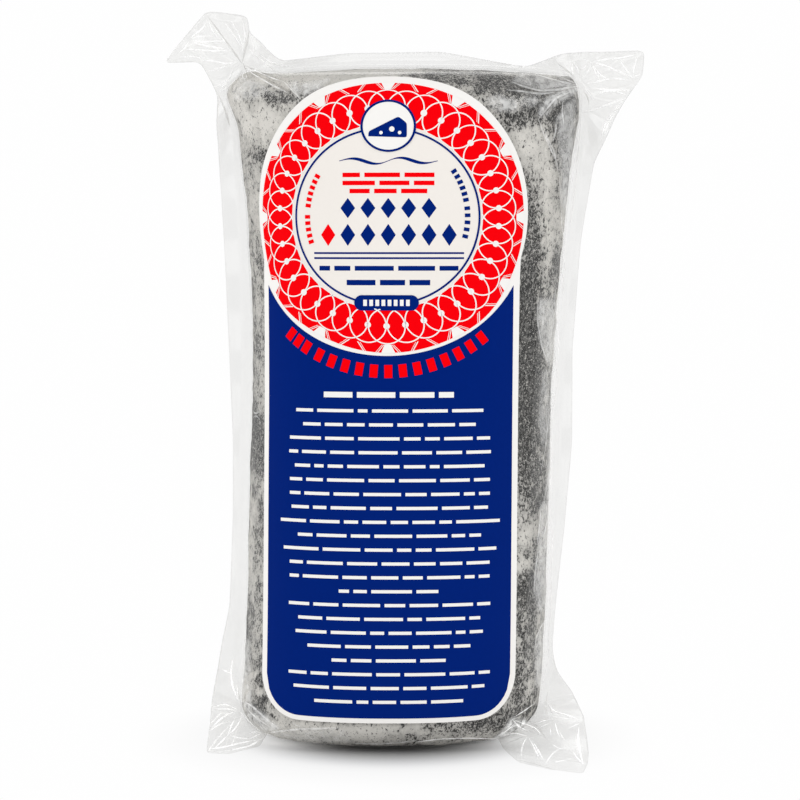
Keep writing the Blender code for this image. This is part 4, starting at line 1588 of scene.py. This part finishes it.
class CHEESE_OT_folds(Operator):
    """Build the sharp folds of the film on the front and the back: white lines that are partly painted
    highlights, and dark lines of painted shade
    """

    bl_idname = "cheese_pack.folds"
    bl_label = "Folds"

    def execute(self, context):
        settings = context.scene.bag_settings
        surface = film_surface()
        tree = fold_ridges_tree()
        routes = {
            "bright": ((*UPPER_LEFT_FOLDS, *UPPER_RIGHT_FOLDS), settings.crease),
            "low": ((*LOWER_LEFT_FOLDS, *LOWER_RIGHT_FOLDS), settings.foot_crease),
            "pale": (RIND_FOLD_HIGHLIGHTS, settings.crease),
            "shaded": (PAINTED_SHADE_FOLDS, settings.shade),
        }
        looks = {
            name: fold_material(f"{name}_fold", routes[name][1], share, roughness)
            for name, (_, share, roughness) in FOLD_LOOKS.items()
        }
        for side, facing in (("front", -1.0), ("back", 1.0)):
            for name, (width, _, _) in FOLD_LOOKS.items():
                slide = BACK_SLIDE if (name, side) == ("pale", "back") else 0.0
                lines = fold_lines(routes[name][0], width, facing, surface, slide)
                ridges = laid_out(tree, {"Height Share": FOLD_HEIGHT_SHARE, "Material": looks[name]}, lines)
                add_piece(f"{name}_folds_{side}", ridges)
        return {"FINISHED"}


class CHEESE_OT_sticker_paper(Operator):
    """Build the sticker's paper with its cut edge"""

    bl_idname = "cheese_pack.sticker_paper"
    bl_label = "Sticker Paper"

    def execute(self, context):
        height = LABEL_HEAD_HEIGHT + LABEL_HEAD_DEPTH - LABEL_FOOT_HEIGHT
        turns = np.linspace(0.0, math.pi, PAPER_ROWS + 1)
        travel = LABEL_FOOT_HEIGHT + height * 0.5 * (1.0 - np.cos(turns))
        half = label_half_width(travel)
        half[-1] = 0.0
        shift = HEAD_SHIFT * smooth_step((travel - HEAD_SHIFT_START) / HEAD_SHIFT_SPAN)
        across = half[:, None] * np.linspace(-1.0, 1.0, PAPER_COLUMNS + 1) + shift[:, None]
        travel = np.broadcast_to(travel[:, None], across.shape)
        sheets = [sticker_map.points(across, travel, lift).reshape(-1, 3) for lift in (PAPER_TOP, LABEL_GAP)]
        count = across.size
        faces = grid_faces(PAPER_COLUMNS, PAPER_ROWS)
        faces += [face[::-1] for face in grid_faces(PAPER_COLUMNS, PAPER_ROWS, first=count)]
        number = np.arange(count).reshape(across.shape)
        rims = ((number[:, 0], 1), (number[:, -1], -1), (number[0], -1), (number[-1], 1))
        for line, order in rims:
            for a, b in zip(line.tolist(), line[1:].tolist()):
                faces.append((a, b, b + count, a + count)[::order])
        look = find_material("sticker_paper")
        paper = new_piece("sticker_paper", np.concatenate(sheets), faces, look)
        cleaned = bmesh.new()
        cleaned.from_mesh(paper.data)
        bmesh.ops.remove_doubles(cleaned, verts=cleaned.verts[:], dist=PAPER_MERGE * MM)
        bmesh.ops.recalc_face_normals(cleaned, faces=cleaned.faces[:])
        cleaned.to_mesh(paper.data)
        cleaned.free()
        paper.data.set_sharp_from_angle(angle=math.radians(SHARP_ANGLE))
        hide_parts("label")
        return {"FINISHED"}


class CHEESE_OT_printed_fields(Operator):
    """Build the blue field, the red ring, the medallion's thin ring, the roundel and the pill"""

    bl_idname = "cheese_pack.printed_fields"
    bl_label = "Printed Fields"

    def execute(self, context):
        self.add_blue_field()
        self.add_rings()
        self.add_pill()
        self.add_wedge()
        return {"FINISHED"}

    def add_blue_field(self):
        half = LABEL_HALF_WIDTH - LABEL_BORDER
        radius = LABEL_CORNER_RADIUS - LABEL_BORDER
        line = np.linspace(-half, half, round(2.0 * half / INK_CELL) + 1)
        into = np.clip((np.abs(line) - (half - radius)) / radius, 0.0, 1.0)
        foot = LABEL_FOOT_HEIGHT + LABEL_FOOT_BORDER + radius * (1.0 - np.sqrt(1.0 - into**2))
        head = FIELD_HEAD_HEIGHT - FIELD_HEAD_DEPTH * np.sqrt(1.0 - (line / FIELD_HEAD_WIDTH) ** 2)
        share = np.linspace(0.0, 1.0, FIELD_ROWS + 1)[:, None]
        ink_patch("blue_field", line, foot + share * (head - foot), 1, "navy_ink")

    def add_rings(self):
        turns = np.linspace(0.0, TURN, RING_SIDES + 1)
        radius = np.linspace(RING_OUTER, RING_INNER, RING_ROWS + 1)[:, None]
        across, travel = ring_places(radius * np.cos(turns), radius * np.sin(turns))
        ink_patch("red_ring", across, travel, 1, "red_ink")
        across, wide, tall = RING_OVALS[0]
        middle = (across, RED_RING_HEIGHT)
        edge = wide + INK_OVERLAP
        flat = {"sides": 160, "rings": 24, "flatten": tall / wide}
        ring_patch("medallion_ground", middle, DISC_MIDDLE, edge, 0.5, "cream_ink", **flat)
        middle = (THIN_RING_ACROSS, RING_HEIGHT)
        inner = THIN_RING_RADIUS - 0.5 * THIN_RING_WIDTH
        outer = inner + THIN_RING_WIDTH
        ring_patch("thin_ring", middle, inner, outer, 2, "navy_ink", sides=200, flatten=THIN_RING_FLATTEN)
        flat = {"sides": 80, "flatten": ROUNDEL_FLATTEN}
        outer = ROUNDEL_RADIUS
        ring_patch("roundel_ground", ROUNDEL_MIDDLE, DISC_MIDDLE, outer, 3, "sticker_paper", rings=8, **flat)
        inner = outer - ROUNDEL_RING_WIDTH
        ring_patch("roundel_ring", ROUNDEL_MIDDLE, inner, outer, 4, "navy_ink", **flat)

    def add_pill(self):
        turns = np.linspace(0.0, TURN, PILL_SIDES + 1)
        radius = 0.5 * PILL_DEPTH
        straight = 0.5 * PILL_WIDTH - radius
        ends = np.sign(np.cos(turns)) * (np.abs(np.cos(turns)) > TINY)
        share = np.linspace(1.0, MIDDLE_SHARE, PILL_ROWS + 1)[:, None]
        across = share * (radius * np.cos(turns) + straight * ends)
        ink_patch("pill", across, PILL_HEIGHT + share * (radius * np.sin(turns)), 3, "navy_ink")

    def add_wedge(self):
        middle_x, middle_z = ROUNDEL_MIDDLE
        corners = rounded_route((*WEDGE_CORNERS, WEDGE_CORNERS[0]), WEDGE_STEP, WEDGE_SMOOTHING)
        share = np.linspace(1.0, MIDDLE_SHARE, WEDGE_ROWS + 1)[:, None]
        travel = middle_z + share * (corners[:, 1] + WEDGE_HEART) - WEDGE_HEART
        ink_patch("wedge", middle_x + share * corners[:, 0], travel, 4, "navy_ink")
        for number, (across, up, radius) in enumerate(WEDGE_HOLES, 1):
            centre = (middle_x + across, middle_z + up)
            ring_patch(f"wedge_hole_{number}", centre, MIDDLE_SHARE, radius, 5, "sticker_paper", sides=20)


class CHEESE_OT_ring_pattern(Operator):
    """Build the white loops and dots on the red ring, with the teeth and strokes at its rim"""

    bl_idname = "cheese_pack.ring_pattern"
    bl_label = "Ring Pattern"

    def execute(self, context):
        ring = {"Radius": LOOP_CENTRES, "Count": LOOP_COUNT, "First Turn": math.pi / LOOP_COUNT}
        loops = {"Loop Width": LOOP_WIDTH, "Loop Depth": LOOP_DEPTH, "Line Width": LOOP_LINE}
        cut = {"Cut Radius": RING_INNER - 0.5 * LOOP_LINE}
        self.add("ring_loops", ring_loops_tree(), {**ring, **loops, **cut})
        self.add("ring_dots", ring_dots_tree(), {**ring, "Dot Radius": DOT_RADIUS})
        tree = arc_marks_tree()
        self.add_marks("ring_teeth", tree, 0.0, TOOTH_SIZE, {"Taper": TOOTH_TAPER})
        for number, (offset, slant, width) in enumerate(STROKES, 1):
            self.add_marks(f"ring_strokes_{number}", tree, offset, (width, STROKE_DEPTH), {"Slant": slant})
        return {"FINISHED"}

    def add_marks(self, name, tree, offset, mark, form):
        radius = RING_OUTER + INK_OVERLAP - 0.5 * mark[1]
        values = arc_values(radius, FIRST_TOOTH + offset, 360.0 / TOOTH_COUNT, TOOTH_COUNT, mark)
        self.add(name, tree, {**values, **form})

    def add(self, name, tree, values):
        tree_print(name, tree, values, 2, "sticker_paper", places_of=ring_places)


class CHEESE_OT_small_print(Operator):
    """Build the bars, rules, lozenges and arc marks that hold the place of the small print"""

    bl_idname = "cheese_pack.small_print"
    bl_label = "Small Print"

    def execute(self, context):
        random = np.random.default_rng(PRINT_SEED)
        lines = [HEADING]
        for number, width in enumerate(LINE_WIDTHS):
            lines.append((FIRST_LINE_HEIGHT - number * LINE_PITCH, width, LINE_DEPTH))
        self.add_lines("body_print", lines, 2, "sticker_paper", random)
        self.add_lines("medallion_red_print", MEDALLION_RED_LINES, 1, "red_ink", random)
        self.add_lines("medallion_navy_print", MEDALLION_NAVY_LINES, 1, "navy_ink", random)
        rules = [(PRINT_CENTRE, *rule) for rule in RULES]
        self.add_bars("double_rule", rules, (60, 2), 1, "navy_ink")
        places = PILL_MARK_PITCH * (np.arange(PILL_MARKS) - 0.5 * (PILL_MARKS - 1))
        marks = [(place, PILL_HEIGHT, *PILL_MARK_SIZE) for place in places]
        self.add_bars("pill_marks", marks, (3, 2), 4, "sticker_paper")
        self.add_lozenges()
        self.add_swash()
        tree = arc_marks_tree()
        for number, word in enumerate(ARC_WORDS, 1):
            self.add_arc(f"arc_word_{number}", tree, ARC_RADIUS, *word, "red_ink", ARC_MARK)
        for number, word in enumerate(SIDE_WORDS, 1):
            self.add_arc(f"side_word_{number}", tree, SIDE_ARC_RADIUS, *word, SIDE_MARK)
        return {"FINISHED"}

    def add_bars(self, name, bars, shape, layer, ink, pointed=0.0):
        values = {"Columns": shape[0], "Rows": shape[1], "Pointed": pointed}
        tree_print(name, print_bars_tree(), values, layer, ink, bar_points(bars))

    def add_lines(self, name, lines, layer, ink, random):
        words = [word for line in lines for word in words_of_line(*line, random)]
        self.add_bars(name, words, (11, 2), layer, ink)

    def add_arc(self, name, tree, radius, first, last, count, ink, mark):
        values = arc_values(radius, first, (last - first) / (count - 1), count, mark)
        tree_print(name, tree, {**values, "Centre Height": RING_HEIGHT}, 2, ink)

    def add_lozenges(self):
        """Two rows of lozenges, the first of the lower row red."""
        places = {"navy_ink": [], "red_ink": []}
        for row, (up, count, depth) in enumerate(LOZENGE_ROWS):
            for number in range(count):
                ink = "red_ink" if row == 1 and number == 0 else "navy_ink"
                middle = PRINT_CENTRE + LOZENGE_PITCH * (number - 0.5 * (count - 1))
                places[ink].append((middle, up, LOZENGE_WIDTH, depth))
        for ink, lozenges in places.items():
            self.add_bars(f"lozenges_{ink}", lozenges, (7, 7), 1, ink, pointed=1.0)

    def add_swash(self):
        """Two tapering waves that run out from the middle."""
        share = np.linspace(-1.0, 1.0, SWASH_POINTS)
        wave = SWASH_WAVE * np.sin(TURN * share) * (1.0 - SWASH_FADE * np.abs(share))
        width = SWASH_THIN + SWASH_SWELL * np.sin(math.pi * np.abs(share)) ** 2
        sides = np.linspace(-0.5, 0.5, 3)[:, None]
        across = PRINT_CENTRE + 0.5 * SWASH_LENGTH * share
        ink_patch("swash", across, SWASH_HEIGHT + wave + sides * width, 1, "navy_ink")


class CHEESE_OT_studio(Operator):
    """Build the floor, the white surroundings, the softboxes and the camera"""

    bl_idname = "cheese_pack.studio"
    bl_label = "Studio"

    def execute(self, context):
        settings = context.scene.studio_settings
        self.build_floor(settings)
        self.build_world(settings)
        for (name, place, size), power in zip(SOFTBOXES, (settings.key, settings.fill)):
            self.add_softbox(name, place, size, power)
        self.build_camera(context)
        context.scene.view_settings.view_transform = "Standard"
        return {"FINISHED"}

    def build_floor(self, settings):
        shape = bmesh.new()
        bmesh.ops.create_circle(shape, cap_ends=True, segments=FLOOR_SIDES, radius=FLOOR_RADIUS)
        mesh = bpy.data.meshes.new("floor")
        shape.to_mesh(mesh)
        shape.free()
        mesh.materials.append(self.floor_material(settings))
        floor = bpy.data.objects.new("floor", mesh)
        bpy.context.scene.collection.objects.link(floor)

    def floor_material(self, settings):
        """Paper near the pack, darkened by a painted shadow, that turns into a glow as white as the backdrop;
        the painted shadow dims the glow as well.
        """
        material, make = new_material("floor_white")
        place = make.place()
        away, close = (self.distance(make, place, squash) for squash in (SHADOW_SQUASH, CONTACT_SQUASH))
        start = SHADOW_START * MM
        share = make.ramp(away, start, start + settings.shadow_reach)
        contact_shadow = make.ramp(close, *(edge * MM for edge in CONTACT_EDGES), 0.0, 1.0 - settings.shadow_floor)
        inner, outer = (make.ramp(away, low * MM, high * MM, depth, 0.0) for low, high, depth in SHADOW_FADES)
        # Painted shadow: a share of brightness that darkens the paper's colour and the glow near the pack
        near = make.less(1.0, make.product(contact_shadow, make.total(inner, outer)))
        paper = make.add("ShaderNodeBsdfDiffuse", {"Color": make.product(near, PAPER_WHITE)})
        glow = make.add("ShaderNodeEmission", {"Strength": make.product(near, BACKDROP_WHITE)})
        make.node("ShaderNodeOutputMaterial", {"Surface": make.shaders(share, paper, glow)})
        return material

    def distance(self, make, place, squash):
        """Distance from the pack's middle, with the width drawn in."""
        shift = (-squash * SHADOW_MIDDLE * MM, 0.0, 0.0)
        drawn = {"Vector": place, "Location": shift, "Scale": (squash, 1.0, 1.0)}
        return make.length(make.add("ShaderNodeMapping", drawn))

    def build_world(self, settings):
        """White as the backdrop, and for light and reflections white round a dark and a grey flat."""
        world = bpy.data.worlds.new("white_surroundings")
        world.use_nodes = True
        world.node_tree.nodes.clear()
        make = NodeMaker(world.node_tree)
        generated = make.node("ShaderNodeTexCoord").outputs["Generated"]
        direction = make.node("ShaderNodeSeparateXYZ", {"Vector": generated}).outputs
        rays = make.node("ShaderNodeLightPath").outputs
        front = make.ramp(direction["Y"], *FRONT_FLAT_EDGES, settings.front_flat, 1.0)
        back = make.ramp(direction["Y"], *BACK_FLAT_EDGES, 1.0, settings.back_flat)
        flats = make.product(make.math("MINIMUM", front, back), settings.dome)
        low = make.ramp(direction["Z"], *STRIP_FOOT)
        high = make.ramp(direction["Z"], *STRIP_HEAD, 1.0, 0.0)
        strip = make.product(make.math("MINIMUM", low, high), settings.strip)
        strength = make.total(flats, make.product(strip, rays["Is Glossy Ray"]))
        studio = make.add("ShaderNodeBackground", {"Strength": strength})
        white = (BACKDROP_WHITE, BACKDROP_WHITE, BACKDROP_WHITE, 1.0)
        backdrop = make.add("ShaderNodeBackground", {"Color": white})
        whole = make.shaders(rays["Is Camera Ray"], studio, backdrop)
        make.node("ShaderNodeOutputWorld", {"Surface": whole})
        bpy.context.scene.world = world

    def add_softbox(self, name, place, size, power):
        light = bpy.data.lights.new(name, "AREA")
        light.shape = "RECTANGLE"
        light.size, light.size_y = size
        light.energy = power
        lamp = bpy.data.objects.new(name, light)
        lamp.location = place
        aim = Vector(SOFTBOX_AIM) - lamp.location
        lamp.rotation_euler = aim.to_track_quat("-Z", "Y").to_euler()
        lamp.visible_glossy = False
        bpy.context.scene.collection.objects.link(lamp)

    def build_camera(self, context):
        data = bpy.data.cameras.new("camera")
        data.sensor_width = SENSOR_WIDTH
        data.lens = SENSOR_WIDTH * FOCAL_PIXELS / PICTURE_WIDTH
        camera = bpy.data.objects.new("camera", data)
        camera.location = (0.0, -CAMERA_DISTANCE * MM, CAMERA_HEIGHT * MM)
        camera.rotation_euler = (math.radians(90.0 - CAMERA_PITCH), 0.0, 0.0)
        context.scene.collection.objects.link(camera)
        context.scene.camera = camera


class CHEESE_PT_pack(Panel):
    """Cheese pack tools"""

    bl_idname = "CHEESE_PT_pack"
    bl_label = "Cheese Pack"
    bl_space_type = "VIEW_3D"
    bl_region_type = "UI"
    bl_category = "Cheese Pack"

    def draw(self, context):
        layout = self.layout
        for operator in OPERATORS:
            layout.operator(operator.bl_idname)
        for name in SETTINGS:
            box = layout.box()
            group = getattr(context.scene, name)
            for prop in group.bl_rna.properties:
                if prop.identifier in group.__annotations__:
                    box.prop(group, prop.identifier)


OPERATORS = (
    CHEESE_OT_rind,
    CHEESE_OT_tight_film,
    CHEESE_OT_fins_and_ears,
    CHEESE_OT_sticker_paper,
    CHEESE_OT_printed_fields,
    CHEESE_OT_ring_pattern,
    CHEESE_OT_small_print,
    CHEESE_OT_folds,
    CHEESE_OT_studio,
)
SETTINGS = {
    "rind_settings": RindSettings,
    "bag_settings": BagSettings,
    "sticker_settings": StickerSettings,
    "studio_settings": StudioSettings,
}
CLASSES = (*SETTINGS.values(), *OPERATORS, CHEESE_PT_pack)


def register():
    for item in CLASSES:
        bpy.utils.register_class(item)
    for name, group in SETTINGS.items():
        setattr(bpy.types.Scene, name, PointerProperty(type=group))


def unregister():
    for name in SETTINGS:
        delattr(bpy.types.Scene, name)
    for item in reversed(CLASSES):
        bpy.utils.unregister_class(item)


def main():
    register()
    bpy.ops.cheese_pack.rind()
    bpy.ops.cheese_pack.tight_film()
    bpy.ops.cheese_pack.fins_and_ears()
    bpy.ops.cheese_pack.sticker_paper()
    bpy.ops.cheese_pack.printed_fields()
    bpy.ops.cheese_pack.ring_pattern()
    bpy.ops.cheese_pack.small_print()
    bpy.ops.cheese_pack.folds()
    bpy.ops.cheese_pack.studio()
    bpy.context.view_layer.update()


if __name__ == "__main__":
    main()
